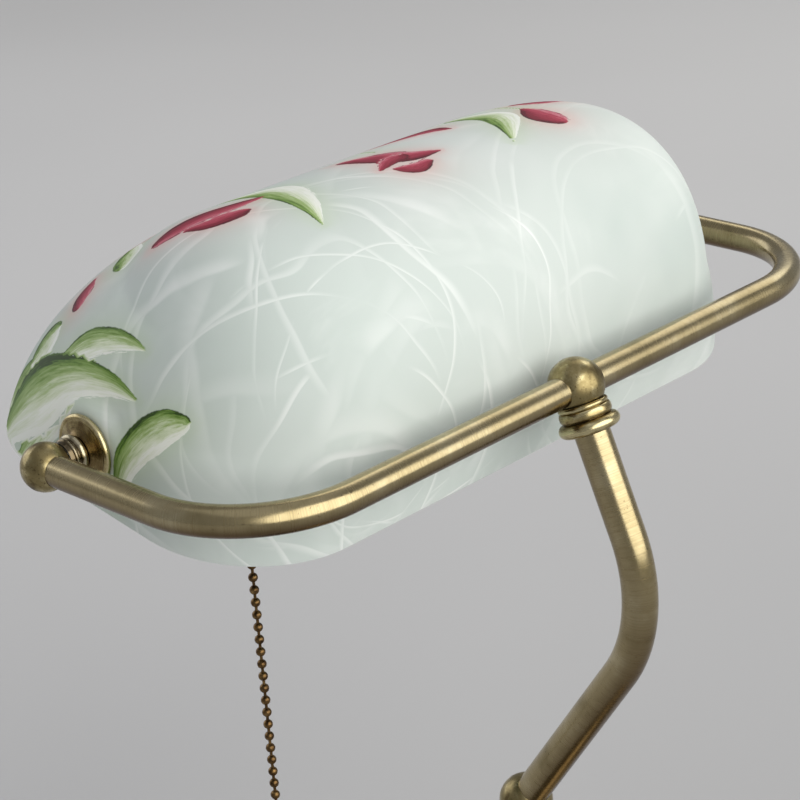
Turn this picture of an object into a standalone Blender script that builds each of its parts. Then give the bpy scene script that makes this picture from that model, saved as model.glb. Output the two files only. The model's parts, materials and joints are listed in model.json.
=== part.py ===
"""Banker desk lamp.

A glass trough shade turns between the two ends of a brass yoke. A cranked tubular arm carries the yoke
and turns on a short column over a round weighted base. Metres, +Z up, the user sits on the -Y side, and
the origin is the middle of the underside of the base pad.
"""

import math

import bmesh
import bpy
from mathutils import Matrix, Vector

mm = 0.001
GAP = 0.3 * mm  # left between two pieces that touch
RUNNING_GAP = 0.4 * mm  # round a spindle or a nipple in its hole

# Shade: a blown trough, open below. Its ridge lies behind the pivot, so the rear side is the steeper one.
SHADE_LENGTH = 241.5 * mm
SHADE_FRONT = 84.5 * mm  # ridge to front rim
SHADE_REAR = 48.5 * mm  # ridge to rear rim
SHADE_HEIGHT = 80.0 * mm
SHADE_WALL = 3.2 * mm
SHADE_RIM_CORNER = 40.5 * mm  # corner radius in plan, at the rim
SHADE_CROWN_CORNER = 64.0 * mm  # the same at the ridge
SHADE_END_ROUNDING = 44.5 * mm  # how far the ends round over towards the ridge
SHADE_END_POWER = 2.65
SHADE_REAR_POWER = 2.35
SHADE_FRONT_POWER = 1.7
SHADE_END_DRAFT = 0.14  # how much the end walls lean in, per unit of height
SHADE_SIDE_LEAN = 0.12  # how much the long walls lean out before they round over
PIVOT_ABOVE_RIM = 16.0 * mm
PIVOT_BEFORE_RIDGE = 22.0 * mm
SHADE_TILT = math.radians(-9.8)  # about +X, rear side down
PAD_SETBACK = 2.8 * mm  # flat pad round each pivot hole, measured in from the rim's end
PAD_HALF = 11.2 * mm
PAD_BLEND = 4.8 * mm

# Yoke and arm
YOKE_ROD = 9.5 * mm
YOKE_WALL = 1.0 * mm
YOKE_CLEARANCE = 0.6 * mm  # between the turning shade and the centre ball
YOKE_CORNER = 38.5 * mm
ARM_WALL = 1.2 * mm
ARM_PLAY = 0.45 * mm  # between the arm tube and the threaded tube it slips over
ARM_UPPER_LENGTH = 77.0 * mm
ARM_LOWER_LENGTH = 104.0 * mm
ARM_UPPER_LEAN = math.radians(22.2)  # going down, the upper run leans to the rear
ARM_LOWER_LEAN = math.radians(34.4)  # and the lower run leans to the front
ARM_BEND = 53.0 * mm
TUBE_SIDES = 12

# Cast balls, turned collars and threaded tubes
END_BALL = 14.9 * mm
CENTRE_BALL = 17.7 * mm
LOWER_BALL = 18.0 * mm
THREAD = 8.0 * mm  # threaded lamp tube
THREAD_BORE = 4.4 * mm
ARM_TUBE = THREAD + 2 * (ARM_PLAY + ARM_WALL)
SPIGOT = 6.4 * mm  # turned-down end of a threaded tube inside an end ball
BALL_PASSAGE = 4.4 * mm
ROD_SEAT = 4.6 * mm  # how near to an end ball's middle the rod comes
STUD_SEAT = 4.0 * mm
COLLAR_RINGS = ((7.9 * mm, 0, 1.4 * mm), (8.3 * mm, 1.6 * mm, 4.5 * mm))  # radius, from, to
COLLAR_FLANGE = (9.7 * mm, 4.9 * mm, 9.1 * mm)
CENTRE_COLLAR_TOP = YOKE_ROD / 2 + 0.75 * mm  # below the centre ball's middle
LOWER_COLLAR_TOP = 5.5 * mm  # below the lower ball's middle
COLLAR_LIP = 0.12 * mm  # how far the hollow's edge stands above the first ring
NECK_LENGTH = 4.2 * mm  # from the end ball's surface to the rosette
ROSETTE_DEPTH = 3.75 * mm
ROSETTE_RADIUS = 11.25 * mm
ROSETTE_ROLL = 1.15 * mm

# Lampholder and bulb
SOCKET_STANDOFF = 28.5 * mm  # glass to the top of the lampholder
SOCKET_LENGTH = 62.0 * mm
SOCKET_RADIUS = 15.1 * mm
SOCKET_WALL = 0.6 * mm
CAP_WALL = 0.8 * mm
CAP_LENGTH = 16.0 * mm
CHAIN_FROM_CAP = 25.5 * mm
SCREW_RADIUS = 13.0 * mm  # bulb cap
BULB_RADIUS = 22.5 * mm
BULB_LENGTH = 78.0 * mm
BULB_WALL = 0.9 * mm

# Pull chain
BEAD = 3.2 * mm
BEAD_PITCH = 4.5 * mm
LINK = 1.1 * mm
CHAIN_DROP = 137.0 * mm  # mouth of the guide to the pull knob
GUIDE_MOUTH = 22.0 * mm  # below the socket's axis
GUIDE_BORE = 4.3 * mm
PULL_TRAVEL = 6.0 * mm

# Column and base
LOWER_BALL_HEIGHT = 150.0 * mm
COLUMN_TUBE = 16.0 * mm
COLUMN_WALL = 1.2 * mm
COLUMN_FLANGE = 10.4 * mm
BASE_RADIUS = 85.0 * mm
BASE_HEIGHT = 43.0 * mm
BASE_BAND = 14.0 * mm
BASE_WALL = 1.5 * mm
PAD_THICKNESS = 2.0 * mm
GROMMET_HEIGHT = 9.0 * mm
GROMMET_SEAT = 3.5 * mm  # radius of its hole in the base
CORD_HOLE = 5.0 * mm
BASE_THREAD = 10.0 * mm
FOOT_HEIGHT = 18.0 * mm
TUBE_SEAT = 6.0 * mm  # how deep the column tube sits in its foot
SWIVEL_STOP_HALF = math.radians(160)

X = Vector((1, 0, 0))
Y = Vector((0, 1, 0))
Z = Vector((0, 0, 1))


# ---------------------------------------------------------------- derived places


def shade_rows(inset):
    """Heights of the shade's horizontal sections, as shares of the height, rim to crown."""
    height = SHADE_HEIGHT - inset
    pad = [z + PIVOT_ABOVE_RIM for z in (-PAD_HALF, -PAD_HALF / 2, 0, PAD_HALF / 2, PAD_HALF)]
    lower = [0, *pad, PIVOT_ABOVE_RIM + PAD_HALF + PAD_BLEND]
    start = math.asin(lower[-1] / height)
    upper = [math.sin(start + (math.pi / 2 - start) * i / 6) for i in range(1, 7)]
    return [z / height for z in lower] + upper


def shade_half(u, inset):
    """Half length, rear and front half widths and corner radius of the section at share u of the height."""
    height = SHADE_HEIGHT - inset
    z = u * height
    rounding = max(1 - u**SHADE_END_POWER, 0) ** (1 / SHADE_END_POWER)
    half_length = SHADE_LENGTH / 2 - inset - SHADE_END_DRAFT * z - SHADE_END_ROUNDING * (1 - rounding)
    lean = SHADE_SIDE_LEAN * z
    rear = (SHADE_REAR - inset + lean) * max(1 - u**SHADE_REAR_POWER, 0) ** (1 / SHADE_REAR_POWER)
    front = (SHADE_FRONT - inset + lean) * max(1 - u**SHADE_FRONT_POWER, 0) ** (1 / SHADE_FRONT_POWER)
    corner = SHADE_RIM_CORNER - inset + (SHADE_CROWN_CORNER - SHADE_RIM_CORNER) * u
    return half_length, rear, front, corner


def shade_swing_radius():
    """How far the shade's rear side reaches from the pivot axis."""
    reach = 0.0
    for i in range(101):
        u = i / 100
        rear = shade_half(u, 0)[1]
        reach = max(reach, math.hypot(PIVOT_BEFORE_RIDGE + rear, u * SHADE_HEIGHT - PIVOT_ABOVE_RIM))
    return reach


glass_end = SHADE_LENGTH / 2 - PAD_SETBACK  # the pads' outer faces
rosette_face = END_BALL / 2 + NECK_LENGTH + GAP + ROSETTE_DEPTH  # from the end ball's middle
end_ball_x = glass_end + GAP + rosette_face
yoke_depth = shade_swing_radius() + YOKE_CLEARANCE + CENTRE_BALL / 2

upper_run = Vector((0, math.sin(ARM_UPPER_LEAN), -math.cos(ARM_UPPER_LEAN)))
lower_run = Vector((0, -math.sin(ARM_LOWER_LEAN), -math.cos(ARM_LOWER_LEAN)))
lower_ball = Vector((0, 0, LOWER_BALL_HEIGHT))
arm_corner = lower_ball - lower_run * ARM_LOWER_LENGTH
centre_ball = arm_corner - upper_run * ARM_UPPER_LENGTH
pivot = centre_ball - Y * yoke_depth
socket_top_x = glass_end - SHADE_WALL - SOCKET_STANDOFF
chain_x = socket_top_x - CHAIN_FROM_CAP
thread_hole = THREAD / 2 + RUNNING_GAP
nut_hole = THREAD / 2 + GAP
inner_washer_thickness = 1.2 * mm
switch_bore = 3.1 * mm
switch_top = 5.0 * mm  # the bore's blind end, above the socket's axis
guide_top = 9.6 * mm  # below the socket's axis
collar_bottom = LOWER_BALL_HEIGHT - LOWER_COLLAR_TOP - COLLAR_FLANGE[2]
washer_thickness = 1.0 * mm
cap_top = collar_bottom - 2 * GAP - washer_thickness
cap_height = 10.0 * mm
spigot_length = 7.0 * mm
stop_radius = 6.7 * mm
stop_pin_radius = 0.8 * mm


# ---------------------------------------------------------------- materials


def material(name, rgb, roughness, metallic=0.0, alpha=1.0):
    made = bpy.data.materials.new(name)
    made.use_nodes = True
    shader = made.node_tree.nodes["Principled BSDF"]
    shader.inputs["Base Color"].default_value = (*rgb, 1)
    shader.inputs["Roughness"].default_value = roughness
    shader.inputs["Metallic"].default_value = metallic
    shader.inputs["Alpha"].default_value = alpha
    return made


def make_materials():
    return {
        "brass": lambda: material("antique_brass", (0.42, 0.33, 0.17), 0.32, 1),
        "dark_brass": lambda: material("dark_brass", (0.12, 0.10, 0.07), 0.22, 1),
        "glass": lambda: material("alabaster_glass", (0.78, 0.84, 0.78), 0.45),
        "opal": lambda: material("opal_bulb", (0.92, 0.92, 0.88), 0.35),
        "steel": lambda: material("zinc_steel", (0.62, 0.62, 0.6), 0.35, 1),
        "iron": lambda: material("cast_iron", (0.09, 0.09, 0.09), 0.7, 1),
        "rubber": lambda: material("black_rubber", (0.03, 0.03, 0.03), 0.8),
        "fibre": lambda: material("vulcan_fibre", (0.30, 0.09, 0.05), 0.7),
        "phenolic": lambda: material("black_phenolic", (0.03, 0.025, 0.02), 0.4),
        "felt": lambda: material("green_felt", (0.03, 0.07, 0.04), 0.95),
        "wire": lambda: material("clear_flex", (0.55, 0.42, 0.22), 0.4),
    }


MATERIALS = make_materials()


# ---------------------------------------------------------------- making pieces


def link(name, data, finish):
    obj = bpy.data.objects.new(name, data)
    bpy.context.scene.collection.objects.link(obj)
    if finish:
        data.materials.append(MATERIALS[finish]())
    return obj


def finish_mesh(bm, name, finish, smooth=True):
    bmesh.ops.remove_doubles(bm, verts=bm.verts, dist=1e-6)
    bmesh.ops.dissolve_degenerate(bm, edges=bm.edges, dist=1e-6)
    bmesh.ops.recalc_face_normals(bm, faces=bm.faces)
    mesh = bpy.data.meshes.new(name)
    bm.to_mesh(mesh)
    bm.free()
    if smooth:
        mesh.shade_smooth()
        mesh.set_sharp_from_angle(angle=math.radians(35))
    return link(name, mesh, finish)


def place(obj, location, axis=Z):
    """Stands a piece made along its own +Z at a place, pointing along axis."""
    obj.location = location
    obj.rotation_euler = axis.to_track_quat("Z", "Y").to_euler()
    return obj


def attach(obj, empty):
    """Parents a placed piece to its joint's empty, without moving it."""
    bpy.context.view_layer.update()
    obj.parent = empty
    obj.matrix_parent_inverse = empty.matrix_world.inverted()
    return obj


def arc(centre_r, centre_s, radius, start, end, steps):
    """Points (r, s) along an arc; angles in degrees, 0 outwards and 90 along the axis."""
    points = []
    for i in range(steps + 1):
        angle = math.radians(start + (end - start) * i / steps)
        points.append((centre_r + radius * math.cos(angle), centre_s + radius * math.sin(angle)))
    return points


def turned(name, profile, finish, steps=16):
    """A lathe-turned piece: a closed outline of (radius, distance along the axis) points, spun round."""
    bm = bmesh.new()
    verts = [bm.verts.new((r, 0, s)) for r, s in profile]
    edges = []
    for i, vert in enumerate(verts):
        following = verts[(i + 1) % len(verts)]
        if profile[i][0] > 0 or profile[(i + 1) % len(verts)][0] > 0:
            edges.append(bm.edges.new((vert, following)))
    bmesh.ops.spin(
        bm, geom=verts + edges, cent=(0, 0, 0), axis=(0, 0, 1), angle=2 * math.pi, steps=steps, use_merge=True
    )
    return finish_mesh(bm, name, finish)


def ring(name, outer, inner, start, end, finish, steps=12):
    return turned(name, [(inner, start), (outer, start), (outer, end), (inner, end)], finish, steps)


def rod_cutter(name, radius, start, end, location, axis, sides=12):
    """A plain cylinder used only to cut, from start to end along axis."""
    bm = bmesh.new()
    bmesh.ops.create_cone(
        bm,
        cap_ends=True,
        segments=sides,
        radius1=radius,
        radius2=radius,
        depth=end - start,
        matrix=Matrix.Translation((0, 0, (start + end) / 2)),
    )
    return hide_cutter(place(finish_mesh(bm, name, None, smooth=False), location, axis))


def box_cutter(name, low, high):
    bm = bmesh.new()
    size = [b - a for a, b in zip(low, high)]
    middle = [(a + b) / 2 for a, b in zip(low, high)]
    bmesh.ops.create_cube(bm, size=1, matrix=Matrix.Translation(middle) @ Matrix.Diagonal((*size, 1)))
    return hide_cutter(finish_mesh(bm, name, None, smooth=False))


def hide_cutter(obj):
    obj.hide_render = True
    obj.display_type = "WIRE"
    return obj


def cut(target, *cutters):
    for cutter in cutters:
        modifier = target.modifiers.new(cutter.name, "BOOLEAN")
        modifier.operation = "DIFFERENCE"
        modifier.object = cutter
        modifier.solver = "EXACT"
        if target.parent and not cutter.parent:
            attach(cutter, target.parent)
    return target


def hex_nut(name, across_flats, hole, height, location, axis, finish):
    """A hexagon nut with its first face at location."""
    bm = bmesh.new()
    corner = across_flats / math.sqrt(3)
    bmesh.ops.create_cone(
        bm,
        cap_ends=True,
        segments=6,
        radius1=corner,
        radius2=corner,
        depth=height,
        matrix=Matrix.Translation((0, 0, height / 2)),
    )
    nut = place(finish_mesh(bm, name, finish), location, axis)
    return cut(nut, rod_cutter(name + "_cut", hole, -mm, height + mm, location, axis))


def filleted(corners, radii, steps=7):
    """A path through corners with each inner corner rounded to its radius."""
    points = [corners[0]]
    for before, corner, after, radius in zip(corners, corners[1:], corners[2:], radii):
        back = (before - corner).normalized()
        ahead = (after - corner).normalized()
        half = back.angle(ahead) / 2
        middle = corner + (back + ahead).normalized() * radius / math.sin(half)
        start = corner + back * radius / math.tan(half) - middle
        end = corner + ahead * radius / math.tan(half) - middle
        for i in range(steps + 1):
            points.append(middle + start.normalized().slerp(end.normalized(), i / steps) * radius)
    points.append(corners[-1])
    return points


def swept_tube(name, path, normal, outer, inner, finish, sides=TUBE_SIDES):
    """A hollow tube along a path that lies in one plane, whose normal is given."""
    bm = bmesh.new()
    loops = {outer: [], inner: []}
    for i, point in enumerate(path):
        ahead = path[min(i + 1, len(path) - 1)] - point
        behind = point - path[max(i - 1, 0)]
        tangent = (ahead.normalized() + behind.normalized()).normalized()
        side = tangent.cross(normal).normalized()
        for radius, rows in loops.items():
            row = []
            for k in range(sides):
                angle = 2 * math.pi * k / sides
                row.append(bm.verts.new(point + radius * (math.cos(angle) * normal + math.sin(angle) * side)))
            rows.append(row)
    bands = [(a, b) for rows in loops.values() for a, b in zip(rows, rows[1:])]
    bands += [(loops[outer][end], loops[inner][end]) for end in (0, -1)]
    for a, b in bands:
        for k in range(sides):
            bm.faces.new((a[k], a[(k + 1) % sides], b[(k + 1) % sides], b[k]))
    return finish_mesh(bm, name, finish)


def wire(name, points, radius, finish, resolution=2):
    """A solid round wire along points."""
    curve = bpy.data.curves.new(name, "CURVE")
    curve.dimensions = "3D"
    curve.bevel_depth = radius
    curve.bevel_resolution = resolution
    curve.use_fill_caps = True
    spline = curve.splines.new("POLY")
    spline.points.add(len(points) - 1)
    for target, point in zip(spline.points, points):
        target.co = (*point, 1)
    return link(name, curve, finish)


def joint_empty(name, location, tilt=0.0):
    empty = bpy.data.objects.new(name, None)
    empty.location = location
    empty.rotation_euler = (tilt, 0, 0)
    bpy.context.scene.collection.objects.link(empty)
    bpy.context.view_layer.update()
    return empty


# ---------------------------------------------------------------- shade


def end_curve(y, half_length, side, corner):
    """How far out the section's end lies at a distance y from the ridge, towards a side that wide."""
    rounded = min(corner, side, half_length)
    past = max(abs(y) - (side - rounded), 0)
    return half_length - rounded + math.sqrt(max(rounded**2 - past**2, 0))


def corner_run(start, half_length, side, corner, steps):
    """Evenly spaced points from y = start on the end wall, round the corner, to the long wall."""
    rounded = max(min(corner, side, half_length), 1e-9)
    flat = side - rounded
    straight = max(flat - start, 0)
    begin = math.asin(min(max(start - flat, 0) / rounded, 1))
    length = straight + rounded * (math.pi / 2 - begin)
    points = []
    for i in range(1, steps + 1):
        along = length * i / steps
        if along < straight:
            points.append((half_length, start + along))
        else:
            angle = begin + (along - straight) / rounded
            x = half_length - rounded + rounded * math.cos(angle)
            points.append((x, flat + rounded * math.sin(angle)))
    return points


def shade_section(u, inset):
    """One closed horizontal section of the shade, in the shade's own frame with the pivot at the origin."""
    half_length, rear, front, corner = shade_half(u, inset)
    widest = shade_half(min(u, shade_rows(inset)[6]), inset)[2]
    pad_edge = PAD_HALF + PAD_BLEND
    across = (-pad_edge, -PAD_HALF, -PAD_HALF / 2, 0, PAD_HALF / 2, PAD_HALF, pad_edge)
    pad_ys = [(y - PIVOT_BEFORE_RIDGE) * front / widest for y in across]
    end = [(end_curve(y, half_length, front, corner), y) for y in pad_ys]
    front_run = corner_run(-pad_ys[0], half_length, front, corner, 4)
    rear_run = corner_run(pad_ys[-1], half_length, rear, corner, 5)
    half = [(0, -front), *[(x, -y) for x, y in reversed(front_run)], *end, *rear_run, (0, rear)]
    outline = half + [(-x, y) for x, y in reversed(half[1:-1])]
    z = u * (SHADE_HEIGHT - inset) - PIVOT_ABOVE_RIM
    return [Vector((x, y + PIVOT_BEFORE_RIDGE, z)) for x, y in outline]


def flatten_pad(point, inset):
    """Moves a point of the end wall onto the flat pad round the pivot hole."""
    pad = glass_end - inset
    inside = max(abs(point.y), abs(point.z)) < PAD_HALF + 0.01 * mm
    if abs(point.x) < pad - 4 * PAD_SETBACK or not inside:
        return point
    return Vector((math.copysign(pad, point.x), point.y, point.z))


def make_shade(axis):
    bm = bmesh.new()
    walls = []
    for inset in (0, SHADE_WALL):
        sections = [shade_section(u, inset) for u in shade_rows(inset)]
        walls.append([[bm.verts.new(flatten_pad(p, inset)) for p in section] for section in sections])
    bands = [(a, b) for rows in walls for a, b in zip(rows, rows[1:])]
    bands.append((walls[0][0], walls[1][0]))
    for a, b in bands:
        count = len(a)
        for k in range(count):
            bm.faces.new((a[k], a[(k + 1) % count], b[(k + 1) % count], b[k]))
    glass = finish_mesh(bm, "glass_shade", "glass")
    glass.parent = axis
    hole = rod_cutter("shade_holes_cut", thread_hole + GAP, -SHADE_LENGTH, SHADE_LENGTH, (0, 0, 0), X)
    hole.parent = axis
    cut(glass, hole)


def make_shade_washers(axis, side, sign):
    """The soft washers on both faces of the glass; they turn with it."""
    inward = X * -sign
    recess = 1.15 * mm
    outside = pivot + X * sign * (glass_end + GAP + recess)
    washer = ring(f"outer_washer_{side}", 8.4 * mm, thread_hole, 0, recess, "rubber")
    attach(place(washer, outside, inward), axis)
    inside = pivot + X * sign * (glass_end - SHADE_WALL - GAP)
    washer = ring(f"inner_washer_{side}", 9.4 * mm, thread_hole, 0, inner_washer_thickness, "rubber")
    attach(place(washer, inside, inward), axis)


# ---------------------------------------------------------------- yoke ends


def ball(name, diameter, location, finish="brass", segments=16, rings=8):
    bm = bmesh.new()
    bmesh.ops.create_uvsphere(bm, u_segments=segments, v_segments=rings, radius=diameter / 2)
    made = finish_mesh(bm, name, finish)
    made.location = location
    return made


def make_yoke_end(axis, side, sign):
    """End ball, ringed neck and rosette outside the glass; threaded tube, washer and nut through it."""
    centre = pivot + X * sign * end_ball_x
    inward = X * -sign
    radius = END_BALL / 2
    end_ball = attach(ball(f"end_ball_{side}", END_BALL, centre), axis)
    far = END_BALL
    passage = BALL_PASSAGE / 2
    cut(
        end_ball,
        rod_cutter(f"end_ball_{side}_rod_cut", YOKE_ROD / 2 + GAP, ROD_SEAT, far, centre, Y),
        rod_cutter(f"end_ball_{side}_stud_cut", SPIGOT / 2 + GAP, STUD_SEAT, far, centre, inward),
        rod_cutter(f"end_ball_{side}_bore_y_cut", passage, -passage, far, centre, Y, 16),
        rod_cutter(f"end_ball_{side}_bore_x_cut", passage, -passage, far, centre, inward, 16),
    )

    seat = radius + GAP
    hub = thread_hole + 0.6 * mm
    neck_start = math.sqrt(seat**2 - hub**2)
    neck_end = radius + NECK_LENGTH
    profile = [(thread_hole, math.sqrt(seat**2 - thread_hole**2)), (hub, neck_start)]
    profile += arc(hub, radius + 0.45 * mm, 0.8 * mm, -70, 70, 2)
    profile += arc(hub + 0.1 * mm, neck_end - 1.5 * mm, 1.3 * mm, -75, 75, 3)
    profile += [(thread_hole, neck_end)]
    neck = turned(f"neck_rings_{side}", profile, "dark_brass")
    attach(place(neck, centre, inward), axis)

    start = neck_end + GAP
    face = start + ROSETTE_DEPTH
    sheet = 1.0 * mm
    profile = [(thread_hole, start), (hub + 0.4 * mm, start), (hub + 1.2 * mm, start + 0.6 * mm)]
    profile += [(7.6 * mm, start + 1.1 * mm), (8.8 * mm, start + 1.4 * mm)]
    profile += arc(ROSETTE_RADIUS - ROSETTE_ROLL, face - ROSETTE_ROLL, ROSETTE_ROLL, -110, 90, 5)
    inner_face = start + 1.3 * mm + sheet
    profile += [(9.1 * mm, face), (8.8 * mm, inner_face), (thread_hole, inner_face)]
    rosette = turned(f"rosette_{side}", profile, "brass", 20)
    attach(place(rosette, centre, inward), axis)

    glass_inner = rosette_face + GAP + SHADE_WALL
    washer_start = glass_inner + GAP + inner_washer_thickness + GAP
    washer = ring(f"clamp_washer_{side}", 8.0 * mm, thread_hole, 0, 1.0 * mm, "steel")
    attach(place(washer, centre + inward * washer_start, inward), axis)
    nut_start = washer_start + 1.0 * mm + GAP
    nut_height = 5.0 * mm
    nut_place = centre + inward * nut_start
    nut = hex_nut(f"clamp_nut_{side}", 13.0 * mm, nut_hole, nut_height, nut_place, inward, "steel")
    for piece in (nut, nut.modifiers[0].object):
        attach(piece, axis)

    if sign > 0:
        stud_end = end_ball_x - socket_top_x + 6.0 * mm
    else:
        stud_end = nut_start + nut_height + 1.5 * mm
    shoulder = radius - 1.2 * mm
    bore = THREAD_BORE / 2
    profile = [(bore, STUD_SEAT + GAP), (SPIGOT / 2, STUD_SEAT + GAP), (SPIGOT / 2, shoulder)]
    profile += [(SPIGOT / 2 + GAP, shoulder + GAP), (THREAD / 2, radius + 0.2 * mm), (THREAD / 2, stud_end)]
    profile += [(bore, stud_end)]
    stud = turned(f"threaded_tube_{side}", profile, "steel", 16)
    attach(place(stud, centre, inward), axis)


# ---------------------------------------------------------------- yoke and arm


def three_ring_collar(name, ball_diameter, top, bore, counterbore, location, down):
    """The turned collar under a ball: two thin rings and a flange, its top hollowed to seat the ball."""
    seat = ball_diameter / 2 + GAP
    profile = []
    steps = 3
    lip = math.sqrt(seat**2 - (top - COLLAR_LIP) ** 2)
    top_radius = min(COLLAR_RINGS[0][0] - 0.5 * mm, lip)
    for i in range(steps + 1):
        r = bore + (top_radius - bore) * i / steps
        profile.append((r, math.sqrt(seat**2 - r**2)))
    for radius, start, end in COLLAR_RINGS:
        half = (end - start) / 2
        middle = top + (start + end) / 2
        bulge = 0.45 * mm
        for i in range(3):
            angle = math.pi * (i / 2 - 0.5)
            profile.append((radius - bulge + bulge * math.cos(angle), middle + half * math.sin(angle)))
    radius, start, end = COLLAR_FLANGE
    roll = (end - start) / 2
    profile += [(7.4 * mm, top + start - 0.2 * mm)]
    profile += arc(radius - roll, top + (start + end) / 2, roll, -75, 90, 5)
    end += top
    if counterbore:
        profile += [(counterbore, end), (counterbore, seat + 0.4 * mm), (bore, seat + 0.4 * mm)]
    else:
        profile += [(bore, end)]
    return place(turned(name, profile, "brass", 20), location, down)


def arm_path():
    """Middle line of the arm tube, from inside the centre collar to inside the lower ball."""
    top = centre_ball + upper_run * (CENTRE_BALL / 2 + 1.0 * mm)
    bottom = lower_ball - lower_run * (ROD_SEAT + GAP)
    return filleted([top, arm_corner, bottom], [ARM_BEND], 6)


def make_yoke(axis):
    seat = Y * (ROD_SEAT + GAP)
    near = pivot + X * end_ball_x
    far = pivot - X * end_ball_x
    corners = [near + seat, near + Y * yoke_depth, far + Y * yoke_depth, far + seat]
    path = filleted(corners, [YOKE_CORNER, YOKE_CORNER], 6)
    tube = swept_tube("yoke_tube", path, Z, YOKE_ROD / 2, YOKE_ROD / 2 - YOKE_WALL, "brass")
    attach(tube, axis)
    cut(tube, rod_cutter("yoke_lead_hole_cut", 2.3 * mm, 0, YOKE_ROD, centre_ball, upper_run, 16))


def make_arm(axis):
    normal = X
    tube = swept_tube("arm_tube", arm_path(), normal, ARM_TUBE / 2, ARM_TUBE / 2 - ARM_WALL, "brass")
    attach(tube, axis)

    centre = attach(ball("centre_ball", CENTRE_BALL, centre_ball, "brass", 18, 10), axis)
    cut(
        centre,
        rod_cutter("centre_ball_rod_cut", YOKE_ROD / 2 + GAP, -CENTRE_BALL, CENTRE_BALL, centre_ball, X, 20),
        rod_cutter("centre_ball_stud_cut", THREAD / 2 + GAP, 0, CENTRE_BALL, centre_ball, upper_run),
    )
    bore = THREAD / 2 + GAP
    arm_bore = ARM_TUBE / 2 + GAP
    collar = three_ring_collar(
        "centre_collar", CENTRE_BALL, CENTRE_COLLAR_TOP, bore, arm_bore, centre_ball, upper_run
    )
    attach(collar, axis)
    stud = ring(
        "centre_threaded_tube", THREAD / 2, THREAD_BORE / 2, YOKE_ROD / 2 + 2 * GAP, 22.0 * mm, "steel"
    )
    attach(place(stud, centre_ball, upper_run), axis)

    lower = attach(ball("lower_ball", LOWER_BALL, lower_ball, "brass", 18, 10), axis)
    up_arm = -lower_run
    passage = BALL_PASSAGE / 2
    cut(
        lower,
        rod_cutter("lower_ball_arm_cut", ARM_TUBE / 2 + GAP, ROD_SEAT, LOWER_BALL, lower_ball, up_arm),
        rod_cutter("lower_ball_spindle_cut", thread_hole, STUD_SEAT, LOWER_BALL, lower_ball, -Z),
        rod_cutter("lower_ball_bore_arm_cut", passage, -0.5 * passage, LOWER_BALL, lower_ball, up_arm, 16),
        rod_cutter("lower_ball_bore_down_cut", passage, -0.5 * passage, LOWER_BALL, lower_ball, -Z, 16),
    )


def make_arm_lead(axis):
    """The flex inside the arm and the yoke, from the lower ball to the lampholder."""
    radius = 1.1 * mm
    hidden_end = Vector((socket_top_x - 9.0 * mm, pivot.y, pivot.z))
    corners = [
        lower_ball,
        arm_corner,
        centre_ball,
        centre_ball + X * end_ball_x,
        pivot + X * end_ball_x,
        hidden_end,
    ]
    turn = 1.9 * mm
    path = filleted(corners, [ARM_BEND, turn, YOKE_CORNER, turn], 5)
    attach(wire("arm_lead", path, radius, "wire", 1), axis)


# ---------------------------------------------------------------- lampholder and bulb


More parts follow.
